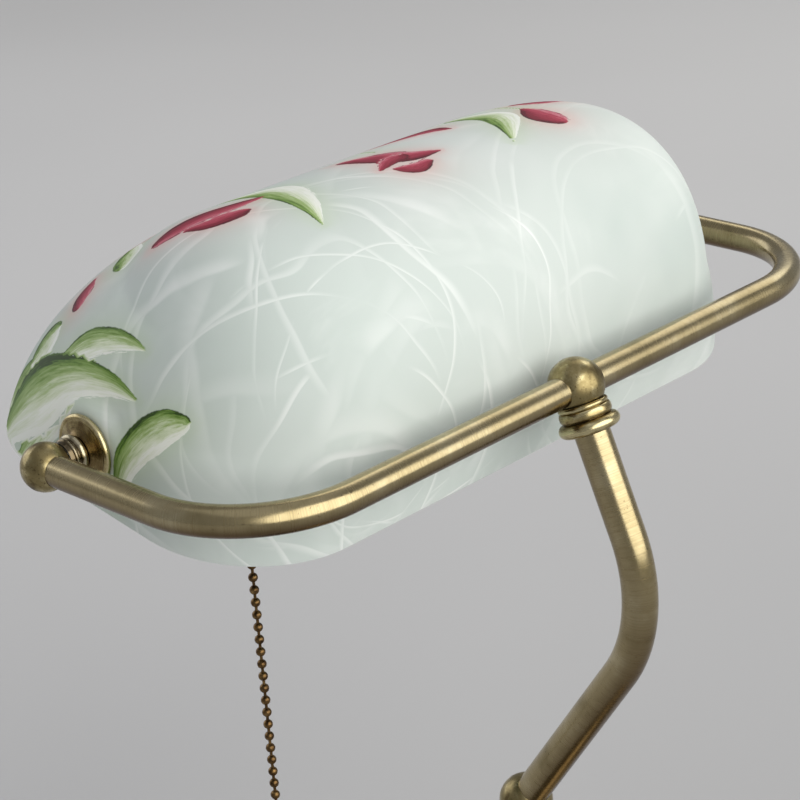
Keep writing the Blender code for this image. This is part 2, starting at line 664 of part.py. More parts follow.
def make_socket(axis):
    """Lampholder along the pivot axis; s runs from the top of its cap towards the bulb."""
    top = Vector((socket_top_x, pivot.y, pivot.z))
    inward = -X

    def seat(obj):
        return attach(place(obj, top, inward), axis)

    locknut_top = top + X * (GAP + 2.5 * mm)
    locknut = hex_nut("socket_locknut", 12.0 * mm, nut_hole, 2.5 * mm, locknut_top, inward, "steel")
    for piece in (locknut, locknut.modifiers[0].object):
        attach(piece, axis)

    rim = SOCKET_RADIUS + GAP
    dome = [(6.6 * mm, 3.4 * mm), (8.4 * mm, 4.2 * mm), (12.2 * mm, 7.0 * mm), (14.8 * mm, 10.6 * mm)]
    outer = [(thread_hole, 0), (6.6 * mm, 0), *dome]
    outer += [(rim + CAP_WALL, 13.2 * mm), (rim + CAP_WALL, CAP_LENGTH)]
    inner = [(rim, CAP_LENGTH), (rim, 13.4 * mm), (14.0 * mm, 11.3 * mm), (11.6 * mm, 7.9 * mm)]
    inner += [(8.0 * mm, 5.2 * mm), (thread_hole, 4.6 * mm)]
    seat(turned("socket_cap", outer + inner, "brass", 18))

    shell_start = 13.9 * mm
    bead = SOCKET_LENGTH - 3.0 * mm
    shell = [(SOCKET_RADIUS - SOCKET_WALL, shell_start), (SOCKET_RADIUS, shell_start)]
    shell += [(SOCKET_RADIUS, bead - 2 * mm), (SOCKET_RADIUS + 0.7 * mm, bead - mm), (SOCKET_RADIUS, bead)]
    shell += [(SOCKET_RADIUS, SOCKET_LENGTH), (SOCKET_RADIUS - SOCKET_WALL, SOCKET_LENGTH)]
    guide_place = top + inward * CHAIN_FROM_CAP
    guide_hole = 3.6 * mm
    shell_obj = seat(turned("socket_shell", shell, "brass", 18))
    cut(shell_obj, rod_cutter("socket_shell_cut", guide_hole, 5 * mm, 2 * SOCKET_RADIUS, guide_place, -Z))

    liner_outer = SOCKET_RADIUS - SOCKET_WALL - GAP
    liner_end = SOCKET_LENGTH - 1.5 * mm
    liner = ring("socket_liner", liner_outer, liner_outer - 0.5 * mm, 18 * mm, liner_end, "fibre", 18)
    seat(liner)
    cut(liner, rod_cutter("socket_liner_cut", guide_hole, 5 * mm, 2 * SOCKET_RADIUS, guide_place, -Z))

    body_end = CHAIN_FROM_CAP + 8.5 * mm
    profile = [(0, 12 * mm), (10.2 * mm, 12 * mm), (12.5 * mm, 15 * mm), (12.5 * mm, body_end), (0, body_end)]
    body = seat(turned("switch_body", profile, "phenolic"))
    cut(body, rod_cutter("switch_body_cut", switch_bore, -switch_top, 2 * SOCKET_RADIUS, guide_place, -Z))

    screw_inner = SCREW_RADIUS + 0.25 * mm
    screw_start = body_end + GAP
    screw_end = SOCKET_LENGTH - 4 * mm
    seat(ring("screw_shell", screw_inner + 0.35 * mm, screw_inner, screw_start, screw_end, "brass", 18))
    contact_end = screw_start + 1.8 * mm
    contact = [(0, screw_start), (3.2 * mm, screw_start), (3.2 * mm, screw_start + 0.8 * mm)]
    contact += [(1.6 * mm, contact_end), (0, contact_end)]
    seat(turned("centre_contact", contact, "brass", 12))

    flare = 4.2 * mm
    bore = GUIDE_BORE / 2
    guide = [(bore, guide_top), (switch_bore - 0.3 * mm, guide_top), (switch_bore - 0.3 * mm, 14.6 * mm)]
    guide += [(2.9 * mm, 16.0 * mm), (2.9 * mm, GUIDE_MOUTH - 2.6 * mm)]
    guide += [(flare - 0.4 * mm, GUIDE_MOUTH - 0.9 * mm)]
    guide += [(flare, GUIDE_MOUTH - 0.4 * mm), (flare - 0.3 * mm, GUIDE_MOUTH), (3.2 * mm, GUIDE_MOUTH)]
    guide += [(bore, GUIDE_MOUTH - 2.2 * mm)]
    attach(place(turned("chain_guide", guide, "brass", 16), guide_place, -Z), axis)

    make_bulb(seat, contact_end + GAP)


def make_bulb(seat, contact_start):
    """Screw cap, contact button and opal globe, all along the socket's axis."""
    button = [(0, contact_start), (2.6 * mm, contact_start), (3.6 * mm, contact_start + 1.2 * mm)]
    button += [(9.0 * mm, contact_start + 3.4 * mm), (9.0 * mm, contact_start + 4.2 * mm)]
    button += [(0, contact_start + 4.2 * mm)]
    seat(turned("bulb_contact", button, "phenolic", 16))
    cap_start = contact_start + 4.2 * mm + GAP
    cap_end = cap_start + 20.0 * mm
    wall = 0.5 * mm
    seat(
        turned(
            "bulb_screw_cap",
            [
                (2.0 * mm, cap_start),
                (9.6 * mm, cap_start),
                (SCREW_RADIUS, cap_start + 3.0 * mm),
                (SCREW_RADIUS, cap_end),
                (SCREW_RADIUS - wall, cap_end),
                (SCREW_RADIUS - wall, cap_start + 3.2 * mm),
                (9.2 * mm, cap_start + wall),
                (2.0 * mm, cap_start + wall),
            ],
            "steel",
            18,
        )
    )
    neck = SCREW_RADIUS - wall - GAP
    neck_start = cap_start + 8.0 * mm
    tip = contact_start + BULB_LENGTH
    middle = tip - BULB_RADIUS
    join = -48
    outside = [(neck, neck_start), (neck, cap_end + 1.0 * mm)] + arc(0, middle, BULB_RADIUS, join, 90, 7)
    inner_radius = BULB_RADIUS - BULB_WALL
    inside = arc(0, middle, inner_radius, 90, join, 5) + [(neck - BULB_WALL, cap_end + 1.2 * mm)]
    inside += [(neck - BULB_WALL, neck_start)]
    outside[-1] = (0, outside[-1][1])
    inside[0] = (0, inside[0][1])
    seat(turned("bulb_globe", outside + inside, "opal", 18))


# ---------------------------------------------------------------- pull chain


def beads(count, top):
    """Outline of a string of beads on short links, the first bead's middle at -top."""
    profile = []
    start_angle = math.degrees(math.acos(LINK / BEAD))
    for i in range(count):
        middle = top - i * BEAD_PITCH
        profile += arc(0, middle, BEAD / 2, start_angle, -start_angle, 2)
    return profile


def make_chain(pull_axis, swing_axis):
    place_x = Vector((chain_x, pivot.y, pivot.z))
    anchor_top = switch_top - 1.2 * mm
    anchor = [(0, anchor_top), (2.6 * mm, anchor_top), (2.6 * mm, anchor_top - 1.0 * mm)]
    anchor += [(LINK / 2, anchor_top - 1.0 * mm)]
    first = anchor_top - 1.0 * mm - BEAD_PITCH / 2 - 0.3 * mm
    inside_count = int((first + GUIDE_MOUTH - BEAD / 2) / BEAD_PITCH) + 1
    profile = anchor + beads(inside_count, first) + [(0, first - (inside_count - 1) * BEAD_PITCH - BEAD / 2)]
    top_chain = turned("pull_chain_top", profile, "dark_brass", 8)
    attach(place(top_chain, place_x), pull_axis)

    spring_top = anchor_top - 1.0 * mm - GAP
    spring_bottom = -guide_top + GAP
    spring_radius = 2.2 * mm
    spring_wire = 0.3 * mm
    turns = 5
    per_turn = 9
    low = spring_bottom + spring_wire
    rise = spring_top - spring_wire - low
    coil = []
    for i in range(turns * per_turn + 1):
        angle = 2 * math.pi * i / per_turn
        height = low + rise * i / (turns * per_turn)
        coil.append((spring_radius * math.cos(angle), spring_radius * math.sin(angle), height))
    spring = wire("pull_spring", coil, spring_wire, "steel", 0)
    spring.location = place_x
    attach(spring, pull_axis)

    last_inside = first - (inside_count - 1) * BEAD_PITCH - BEAD / 2
    swing_top = last_inside - GAP - BEAD / 2
    hanging_count = int((CHAIN_DROP - (-swing_top - GUIDE_MOUTH)) / BEAD_PITCH)
    bottom = swing_top - (hanging_count - 1) * BEAD_PITCH - BEAD / 2
    profile = [(0, swing_top + BEAD / 2)] + beads(hanging_count, swing_top)
    profile += [(LINK / 2, bottom), (0, bottom)]
    chain = turned("pull_chain", profile, "dark_brass", 6)
    attach(place(chain, place_x), swing_axis)

    knob_top = bottom - GAP
    knob = [(0, knob_top), (1.6 * mm, knob_top), (2.1 * mm, knob_top - 2.0 * mm)]
    knob += [(1.9 * mm, knob_top - 3.4 * mm), (4.2 * mm, knob_top - 5.2 * mm)]
    knob += [(5.2 * mm, knob_top - 8.4 * mm), (5.6 * mm, knob_top - 12.6 * mm)]
    knob += [(4.4 * mm, knob_top - 14.6 * mm), (2.0 * mm, knob_top - 15.6 * mm), (0, knob_top - 15.8 * mm)]
    attach(place(turned("pull_knob", knob, "brass", 16), place_x), swing_axis)


# ---------------------------------------------------------------- column and base


def make_swivel(arm_axis):
    """Where the arm turns on the column: collar and spindle above; washer, cap and stop pin below."""
    place_down = (lower_ball, -Z)
    collar = three_ring_collar("lower_collar", LOWER_BALL, LOWER_COLLAR_TOP, thread_hole, None, *place_down)
    attach(collar, arm_axis)
    cut(collar, stop_slot_cutter())

    tube_inner = COLUMN_TUBE / 2 - COLUMN_WALL
    cap_bottom = cap_top - cap_height - spigot_length
    nut_height = 4.0 * mm
    washer_height = 0.8 * mm
    nut_top = cap_bottom - 2 * GAP - washer_height
    spindle_end = nut_top - nut_height - 1.5 * mm
    spindle_start = LOWER_BALL_HEIGHT - STUD_SEAT - GAP
    spindle = ring("swivel_spindle", THREAD / 2, THREAD_BORE / 2, spindle_end, spindle_start, "steel")
    attach(spindle, arm_axis)
    washer_bottom = nut_top + GAP
    washer_radius = tube_inner - 0.6 * mm
    washer_top = washer_bottom + washer_height
    washer = ring("swivel_spring_washer", washer_radius, thread_hole, washer_bottom, washer_top, "steel")
    attach(washer, arm_axis)
    across_flats = 2 * (tube_inner - 0.45 * mm) * math.cos(math.radians(30))
    nut = hex_nut("swivel_nut", across_flats, nut_hole, nut_height, Z * nut_top, -Z, "steel")
    for piece in (nut, nut.modifiers[0].object):
        attach(piece, arm_axis)

    stop_place = (0, stop_radius, cap_top)
    bottom = cap_top + GAP
    friction = ring("friction_washer", 9.0 * mm, thread_hole, bottom, bottom + washer_thickness, "fibre", 20)
    cut(friction, rod_cutter("friction_washer_cut", stop_pin_radius + GAP, -mm, 5 * mm, stop_place, Z, 10))

    spigot = tube_inner - GAP
    profile = [(thread_hole, cap_top), (9.3 * mm, cap_top)]
    profile += arc(COLUMN_FLANGE - 1.5 * mm, cap_top - 2.0 * mm, 1.5 * mm, 75, -75, 3)
    profile += [(8.6 * mm, cap_top - 4.0 * mm), (9.2 * mm, cap_top - 5.2 * mm)]
    profile += [(8.7 * mm, cap_top - 6.6 * mm)]
    profile += [(8.9 * mm, cap_top - cap_height), (spigot, cap_top - cap_height)]
    profile += [(spigot, cap_bottom), (thread_hole, cap_bottom)]
    cap = turned("column_cap", profile, "brass", 20)
    cut(cap, rod_cutter("column_cap_cut", stop_pin_radius + 0.1 * mm, -3.2 * mm, mm, stop_place, Z, 10))
    place(ring("stop_pin", stop_pin_radius, 0, -3.0 * mm, 2.9 * mm, "steel", 10), stop_place)

    foot_top = PAD_THICKNESS + BASE_HEIGHT + FOOT_HEIGHT
    tube_top = cap_top - cap_height - GAP
    ring("column_tube", COLUMN_TUBE / 2, tube_inner, foot_top - TUBE_SEAT, tube_top, "brass", 20)


def stop_slot_cutter():
    """The curved slot in the collar's underside that lets the stop pin pass as the arm turns."""
    width = stop_pin_radius + 0.5 * mm
    depth = 2.4 * mm
    half = SWIVEL_STOP_HALF + math.radians(8)
    steps = 24
    bm = bmesh.new()
    rows = []
    for i in range(steps + 1):
        angle = math.pi / 2 - half + 2 * half * i / steps
        along = Vector((math.cos(angle), math.sin(angle), 0))
        row = []
        for r, z in ((-width, -mm), (width, -mm), (width, depth), (-width, depth)):
            row.append(bm.verts.new(along * (stop_radius + r) + Z * (collar_bottom + z)))
        rows.append(row)
    for a, b in zip(rows, rows[1:]):
        for k in range(4):
            bm.faces.new((a[k], a[(k + 1) % 4], b[(k + 1) % 4], b[k]))
    bm.faces.new(rows[0])
    bm.faces.new(rows[-1])
    return hide_cutter(finish_mesh(bm, "stop_slot_cut", None, smooth=False))


def base_curve(share, inset=0.0):
    """The base's sweep from the shoulder to the neck; share runs 0 to 1."""
    shoulder = BASE_RADIUS - 7.0 * mm
    neck = 12.5 * mm
    r = shoulder + (neck - shoulder) * share
    rise = BASE_HEIGHT - BASE_BAND - 3.0 * mm
    z = PAD_THICKNESS + BASE_BAND + 3.0 * mm + rise * (0.35 * share + 0.65 * share**3)
    return r - inset * 0.3, z - inset


def make_base():
    steps = 32
    floor = PAD_THICKNESS
    pad_radius = BASE_RADIUS - 1.5 * mm
    turned("base_pad", [(0, 0), (pad_radius, 0), (pad_radius, floor - GAP), (0, floor - GAP)], "felt", steps)

    hole = BASE_THREAD / 2 + GAP
    outside = arc(BASE_RADIUS - 1.3 * mm, floor + 1.3 * mm, 1.3 * mm, -90, 80, 3)
    band = BASE_RADIUS - 2.0 * mm
    shoulder = floor + BASE_BAND
    outside += [(band, floor + 2.9 * mm), (band, shoulder - 1.2 * mm), (band - 1.2 * mm, shoulder)]
    outside += [(band - 3.4 * mm, shoulder + 0.4 * mm), (band - 4.2 * mm, shoulder + 2.6 * mm)]
    sweep = [base_curve(i / 7) for i in range(8)]
    outside += sweep
    top = floor + BASE_HEIGHT
    outside += [(hole, top)]
    inside = [(hole, top - BASE_WALL)]
    inside += [(r, z - BASE_WALL) for r, z in reversed(sweep)]
    inside += [(band - 3.4 * mm - BASE_WALL, shoulder - 1.2 * mm), (band - BASE_WALL, shoulder - 2.6 * mm)]
    inside += [(band - BASE_WALL, floor)]
    shell = turned("base_shell", outside + inside, "brass", steps)
    seat = rod_cutter("grommet_seat_cut", GROMMET_SEAT, -6 * mm, 6 * mm, (0, band, GROMMET_HEIGHT), Y)
    cut(shell, seat)

    under = 2.0 * mm + BASE_WALL
    weight_top = [(r - 2.0 * mm, z - under) for r, z in sweep[1:-1]]
    recess = 17.0 * mm
    recess_top = floor + 12.0 * mm
    hub = top - BASE_WALL - GAP
    edge = sweep[1][0] - 2.0 * mm
    weight = [(hole, hub), (9.0 * mm, hub)] + list(reversed(weight_top))
    weight += [(edge, floor + GAP), (recess, floor + GAP), (recess, recess_top), (hole, recess_top)]
    iron = turned("base_weight", weight, "iron", 24)
    channel_half = CORD_HOLE / 2 + 1.0 * mm
    channel_top = GROMMET_HEIGHT + channel_half
    low = (-channel_half, recess - 6 * mm, 0)
    cut(iron, box_cutter("weight_channel_cut", low, (channel_half, BASE_RADIUS, channel_top)))

    neck = GROMMET_SEAT - GAP
    inner_face = band - BASE_WALL - 2 * GAP
    outer_face = band + GAP
    hole_radius = CORD_HOLE / 2
    grommet = [(hole_radius, inner_face - 1.6 * mm), (neck + 0.6 * mm, inner_face - 1.6 * mm)]
    grommet += [(neck + 0.8 * mm, inner_face), (neck, inner_face), (neck, outer_face)]
    grommet += [(neck + 1.1 * mm, outer_face), (neck + 0.9 * mm, outer_face + 1.0 * mm)]
    grommet += [(neck, outer_face + 1.5 * mm), (hole_radius, outer_face + 1.5 * mm)]
    place(turned("cord_grommet", grommet, "rubber"), (0, 0, GROMMET_HEIGHT), Y)

    thread = BASE_THREAD / 2
    washer_top = recess_top - GAP
    ring("base_washer", 12.0 * mm, hole, washer_top - 1.5 * mm, washer_top, "steel")
    nut_height = 5.0 * mm
    nut_top = washer_top - 1.5 * mm - GAP
    hex_nut("base_nut", 17.0 * mm, thread + GAP, nut_height, Z * nut_top, -Z, "steel")
    ring("base_threaded_tube", thread, 3.5 * mm, floor + 1.5 * mm, top + 10.0 * mm, "steel")

    tube_hole = COLUMN_TUBE / 2 + GAP
    foot_top = top + FOOT_HEIGHT
    foot = [(hole, top + GAP)]
    foot += arc(14.6 * mm, top + GAP + 1.6 * mm, 1.6 * mm, -90, 80, 4)
    foot += [(13.2 * mm, top + 3.8 * mm), (11.2 * mm, top + 5.4 * mm), (10.4 * mm, top + 8.4 * mm)]
    foot += arc(10.2 * mm, top + 11.2 * mm, 1.5 * mm, -75, 75, 3)
    foot += [(9.8 * mm, top + 13.2 * mm), (9.1 * mm, foot_top), (tube_hole, foot_top)]
    foot += [(tube_hole, foot_top - TUBE_SEAT - GAP), (hole, foot_top - TUBE_SEAT - GAP)]
    turned("column_foot", foot, "brass", 20)


# ---------------------------------------------------------------- the lamp


def clear_scene():
    for obj in list(bpy.data.objects):
        bpy.data.objects.remove(obj)


def main():
    clear_scene()
    arm_axis = joint_empty("arm_swivel_axis", lower_ball)
    shade_axis = joint_empty("shade_tilt_axis", pivot, SHADE_TILT)
    pull_axis = joint_empty("chain_pull_axis", Vector((chain_x, pivot.y, pivot.z)))
    swing_axis = joint_empty("chain_swing_axis", Vector((chain_x, pivot.y, pivot.z - GUIDE_MOUTH)))
    make_base()
    make_swivel(arm_axis)
    make_arm(arm_axis)
    make_yoke(arm_axis)
    make_arm_lead(arm_axis)
    for side, sign in (("near", 1), ("far", -1)):
        make_yoke_end(arm_axis, side, sign)
        make_shade_washers(shade_axis, side, sign)
    make_shade(shade_axis)
    make_socket(arm_axis)
    make_chain(pull_axis, swing_axis)


main()
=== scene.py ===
"""Banker's desk lamp: a painted alabaster glass shade in an antique brass yoke, on a cranked arm."""

import json
import math
import random

import bmesh
import bpy
import numpy as np
from bpy.props import FloatProperty, FloatVectorProperty, IntProperty, PointerProperty
from mathutils import Matrix, Vector


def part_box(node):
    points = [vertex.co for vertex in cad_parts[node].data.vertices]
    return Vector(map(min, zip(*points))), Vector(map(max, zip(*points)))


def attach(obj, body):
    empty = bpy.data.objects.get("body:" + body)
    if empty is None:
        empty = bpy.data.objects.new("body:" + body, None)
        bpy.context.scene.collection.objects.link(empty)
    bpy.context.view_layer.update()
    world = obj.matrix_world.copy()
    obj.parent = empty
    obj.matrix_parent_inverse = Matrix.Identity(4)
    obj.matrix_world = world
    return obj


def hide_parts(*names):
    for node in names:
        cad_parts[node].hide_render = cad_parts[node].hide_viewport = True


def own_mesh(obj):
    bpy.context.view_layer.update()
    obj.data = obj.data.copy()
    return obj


bl_info = {
    "name": "Banker's desk lamp",
    "version": (1, 0, 0),
    "blender": (4, 5, 0),
    "location": "View3D > Sidebar > Desk lamp",
    "description": "Builds a banker's desk lamp with a painted glass shade round its CAD frame",
    "category": "Add Mesh",
}

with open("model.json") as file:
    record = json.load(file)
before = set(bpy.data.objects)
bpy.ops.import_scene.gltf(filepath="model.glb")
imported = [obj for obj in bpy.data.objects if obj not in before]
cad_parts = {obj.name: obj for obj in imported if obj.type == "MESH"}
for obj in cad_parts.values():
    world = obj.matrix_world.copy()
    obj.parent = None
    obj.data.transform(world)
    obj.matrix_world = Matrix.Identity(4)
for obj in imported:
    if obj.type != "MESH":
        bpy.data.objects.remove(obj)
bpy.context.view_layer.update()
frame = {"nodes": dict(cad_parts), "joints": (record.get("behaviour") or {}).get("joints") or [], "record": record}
JOINTS = {joint["name"]: joint for joint in frame["joints"]}

mm = 0.001
GAP = 0.3 * mm
X = Vector((1, 0, 0))
Y = Vector((0, 1, 0))
Z = Vector((0, 0, 1))

# ---------------------------------------------------------------- places, all from the frame

PIVOT = Vector(JOINTS["shade_tilt"]["pos_m"])
LOWER_BALL = Vector(JOINTS["arm_swivel"]["pos_m"])
CHAIN_MOUTH = Vector(JOINTS["chain_swing"]["pos_m"])
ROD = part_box("yoke_tube")[1].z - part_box("yoke_tube")[0].z
BALL_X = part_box("yoke_tube")[1].x - ROD / 2
CENTRE_BALL = Vector((0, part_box("yoke_tube")[1].y - ROD / 2, PIVOT.z))
ARM_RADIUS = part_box("arm_tube")[1].x
THREAD_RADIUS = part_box("threaded_tube_near")[1].z - PIVOT.z
END_BALL_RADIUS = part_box("end_ball_near")[1].z - PIVOT.z
CENTRE_BALL_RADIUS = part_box("centre_ball")[1].z - PIVOT.z
LOWER_BALL_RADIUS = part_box("lower_ball")[1].y - LOWER_BALL.y
SOCKET_TOP = Vector((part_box("socket_cap")[1].x, PIVOT.y, PIVOT.z))
BASE_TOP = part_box("base_shell")[1].z
BASE_RADIUS = 85.0 * mm
FLOOR_OF_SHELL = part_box("base_shell")[0].z
COLLAR_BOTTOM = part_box("lower_collar")[0].z
CAP_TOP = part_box("column_cap")[1].z
SHADE_TILT = math.radians(-9.8)

SPRING_WIRE = 0.6 * mm
SPRING_TURNS = 5.0
SMOKE_ARCS = 30
SMOKE_SEED = 5
FIT = 0.4 * mm  # how much wider a hole is than the threaded tube in it, in radius


def colour(hex_value):
    """An sRGB hex colour as linear RGBA."""
    channels = []
    for i in (1, 3, 5):
        value = int(hex_value[i : i + 2], 16) / 255
        channels.append(value / 12.92 if value <= 0.04045 else ((value + 0.055) / 1.055) ** 2.4)
    return (*channels, 1.0)


# ---------------------------------------------------------------- settings a user would change


class LampGlassSettings(bpy.types.PropertyGroup):
    """The trough shade."""

    length: FloatProperty(
        name="Length", description="Shade from end to end", default=241.5 * mm, unit="LENGTH"
    )
    front: FloatProperty(
        name="Front", description="Ridge to the front rim", default=84.5 * mm, unit="LENGTH"
    )
    rear: FloatProperty(
        name="Rear", description="Ridge to the rear rim", default=48.5 * mm, unit="LENGTH"
    )
    height: FloatProperty(
        name="Height", description="Rim to ridge", default=80.0 * mm, unit="LENGTH"
    )
    wall: FloatProperty(
        name="Wall", description="Thickness of the glass", default=3.2 * mm, unit="LENGTH"
    )
    columns: IntProperty(name="Columns", description="Points round half the rim", default=230)
    rows: IntProperty(name="Rows", description="Rows from rim to ridge", default=84)
    tint: FloatVectorProperty(
        name="Glass",
        description="Colour of the milky glass",
        size=4,
        subtype="COLOR",
        default=colour("#ccd4d0"),
    )
    smoke: FloatVectorProperty(
        name="Smoke",
        description="Colour of the smoke in it",
        size=4,
        subtype="COLOR",
        default=colour("#f1f4f2"),
    )
    leaf: FloatVectorProperty(
        name="Leaves",
        description="Main green of the leaves",
        size=4,
        subtype="COLOR",
        default=colour("#a3b97d"),
    )
    petal: FloatVectorProperty(
        name="Petals",
        description="Main red of the petals",
        size=4,
        subtype="COLOR",
        default=colour("#982c42"),
    )


class LampMetalSettings(bpy.types.PropertyGroup):
    """Tubes, balls and turned pieces."""

    rod_bend: FloatProperty(
        name="Yoke corner",
        description="Middle radius of the yoke's corners",
        default=38.5 * mm,
        unit="LENGTH",
    )
    arm_bend: FloatProperty(
        name="Arm bend",
        description="Middle radius of the arm's bend",
        default=53.0 * mm,
        unit="LENGTH",
    )
    upper_lean: FloatProperty(
        name="Upper lean",
        description="Lean of the arm's upper run",
        default=math.radians(22.2),
        subtype="ANGLE",
    )
    lower_lean: FloatProperty(
        name="Lower lean",
        description="Lean of the arm's lower run",
        default=math.radians(34.4),
        subtype="ANGLE",
    )
    sides: IntProperty(name="Sides", description="Facets round a tube", default=48)
    brass: FloatVectorProperty(
        name="Brass",
        description="Main colour of the tubes",
        size=4,
        subtype="COLOR",
        default=colour("#ab9d79"),
    )
    # painted shade: the dark brown laid on down-facing brass, for the dark reflection from below
    wash: FloatVectorProperty(
        name="Painted underside shade",
        description="Brown left underneath",
        size=4,
        subtype="COLOR",
        default=colour("#5a432b"),
    )


class LampChainSettings(bpy.types.PropertyGroup):
    """The pull chain."""

    bead: FloatProperty(
        name="Bead", description="Diameter of a bead", default=3.2 * mm, unit="LENGTH"
    )
    pitch: FloatProperty(name="Pitch", description="Bead to bead", default=4.5 * mm, unit="LENGTH")
    link: FloatProperty(
        name="Link", description="Thickness of a link", default=1.0 * mm, unit="LENGTH"
    )


class LampStageSettings(bpy.types.PropertyGroup):
    """Light and camera."""

    lens: FloatProperty(name="Lens", description="Focal length of the camera in mm", default=106.7)
    key: FloatProperty(
        name="Window light", description="Strength of the broad light from the rear", default=3.8
    )
    fill: FloatProperty(
        name="Top softbox", description="Power of the light above", default=2.5, unit="POWER"
    )
    front: FloatProperty(
        name="Front softbox", description="Power of the light in front", default=8.0, unit="POWER"
    )
    backdrop: FloatProperty(
        name="Backdrop", description="Power of the backdrop's light", default=8.0, unit="POWER"
    )


# ---------------------------------------------------------------- shader helpers

MIX_A, MIX_B, MIX_RESULT = 6, 7, 2  # the colour sockets of a Mix node


def add(tree, kind, inputs=None, output=0, stops=(), easing="EASE", **settings):
    """Adds a node, sets it, fills or links its inputs, and gives back one of its outputs.

    An input may be a value, an output to link, or a list of outputs. Stops are a colour ramp's.
    """
    made = tree.nodes.new(kind)
    for name, value in settings.items():
        setattr(made, name, value)
    for key, given in (inputs or {}).items():
        for value in given if isinstance(given, list) else [given]:
            if isinstance(value, bpy.types.NodeSocket):
                tree.links.new(value, made.inputs[key])
            else:
                made.inputs[key].default_value = value
    if stops:
        made.color_ramp.interpolation = easing
        elements = made.color_ramp.elements
        while len(elements) < len(stops):
            elements.new(0.5)
        for element, (place, shade) in zip(elements, stops):
            element.position = place
            element.color = colour(shade) if isinstance(shade, str) else shade
    return made.outputs[output] if made.outputs else made


def every(millimetres):
    """The noise scale that gives a pattern one spot in so many millimetres."""
    return 1 / (millimetres * mm)


def new_material(name, **sockets):
    """A material with its shader's own sockets set."""
    made = bpy.data.materials.new(name)
    made.use_nodes = True
    shader = made.node_tree.nodes["Principled BSDF"]
    for key, value in sockets.items():
        shader.inputs[key.replace("_", " ")].default_value = value
    return made, made.node_tree, shader


def wire(tree, shader, **outputs):
    """Links outputs to the shader's sockets of those names."""
    for key, output in outputs.items():
        tree.links.new(output, shader.inputs[key.replace("_", " ")])


# ---------------------------------------------------------------- materials


def brushed_brass():
    """Antiqued brass tube, brushed round and lacquered: olive gold, satin, fine rings, dark specks."""
    metal = bpy.context.scene.lamp_metal
    made, tree, shader = new_material(
        "brushed_antique_brass", Metallic=1.0, Roughness=0.3, Anisotropic=0.35
    )
    place = add(tree, "ShaderNodeTexCoord", output="Object")
    uv = add(tree, "ShaderNodeUVMap", uv_map="Surface")
    # brush marks 0.4 mm wide, far coarser than real ones, so that they show; they run round the tube
    marks = {"Vector": uv, "Scale": (every(0.385), 18, 1)}
    marks = add(tree, "ShaderNodeMapping", marks)
    rings = add(tree, "ShaderNodeTexNoise", {"Vector": marks, "Scale": 1.0, "Detail": 2})
    cloud = {"Vector": place, "Scale": every(16.7), "Detail": 4, "Roughness": 0.6}
    cloud = add(tree, "ShaderNodeTexNoise", cloud)
    dots = add(tree, "ShaderNodeTexNoise", {"Vector": place, "Scale": every(1.11), "Detail": 2})
    stops = ((0.25, "#8f825f"), (0.5, metal.brass), (0.78, "#c2b694"))
    base = add(tree, "ShaderNodeValToRGB", {"Fac": cloud}, stops=stops)
    for pattern, low, high, amount, dark in (
        (rings, 0.35, 0.7, 0.25, "#75633f"),
        (dots, 0.68, 0.76, 0.5, "#4a3a24"),
    ):
        share = {"Value": pattern, "From Min": low, "From Max": high, "To Max": amount}
        share = add(tree, "ShaderNodeMapRange", share, interpolation_type="SMOOTHSTEP")
        both = {0: share, MIX_A: base, MIX_B: colour(dark)}
        base = add(tree, "ShaderNodeMix", both, MIX_RESULT, data_type="RGBA")
    # down-facing surfaces are painted dark brown: a painted shade standing for the dark reflection from below
    facing = add(tree, "ShaderNodeTexCoord", output="Normal")
    height = add(tree, "ShaderNodeSeparateXYZ", {0: facing}, "Z")
    down = {"Value": height, "From Min": -0.65, "From Max": 0.25, "To Min": 0.9, "To Max": 0.0}
    down = add(tree, "ShaderNodeMapRange", down, interpolation_type="SMOOTHSTEP")
    both = {0: down, MIX_A: base, MIX_B: metal.wash}
    base = add(tree, "ShaderNodeMix", both, MIX_RESULT, data_type="RGBA")
    rough = {"Value": rings, "From Min": 0.3, "From Max": 0.7, "To Min": 0.21, "To Max": 0.28}
    rough = add(tree, "ShaderNodeMapRange", rough, interpolation_type="SMOOTHSTEP")
    bump = add(tree, "ShaderNodeBump", {"Height": rings, "Strength": 0.06, "Distance": 0.05 * mm})
    wire(tree, shader, Base_Color=base, Roughness=rough, Normal=bump)
    return made


def cast_brass():
    """Cast and tumbled brass, darkened in its pits: mottled brown-gold with worn bright patches."""
    made, tree, shader = new_material("cast_antique_brass", Metallic=1.0, Roughness=0.33)
    place = add(tree, "ShaderNodeTexCoord", output="Object")
    cloud = {"Vector": place, "Scale": every(5.26), "Detail": 5, "Roughness": 0.65}
    cloud = add(tree, "ShaderNodeTexNoise", cloud)
    # sand pits 0.7 mm apart, drawn a little coarse so that they show
    pits = {"Vector": place, "Scale": every(0.667), "Detail": 3, "Roughness": 0.6}
    pits = add(tree, "ShaderNodeTexNoise", pits)
    stops = ((0.25, "#5f5135"), (0.48, "#8f815a"), (0.7, "#bdb086"))
    base = add(tree, "ShaderNodeValToRGB", {"Fac": cloud}, stops=stops)
    dark = {"Value": pits, "From Min": 0.58, "From Max": 0.72, "To Max": 0.7}
    dark = add(tree, "ShaderNodeMapRange", dark, interpolation_type="SMOOTHSTEP")
    both = {0: dark, MIX_A: base, MIX_B: colour("#3a2a1a")}
    base = add(tree, "ShaderNodeMix", both, MIX_RESULT, data_type="RGBA")
    rough = {"Value": cloud, "From Min": 0.3, "From Max": 0.7, "To Min": 0.42, "To Max": 0.24}
    rough = add(tree, "ShaderNodeMapRange", rough, interpolation_type="SMOOTHSTEP")
    bump = add(tree, "ShaderNodeBump", {"Height": pits, "Strength": 0.2, "Distance": 0.08 * mm})
    wire(tree, shader, Base_Color=base, Roughness=rough, Normal=bump)
    return made


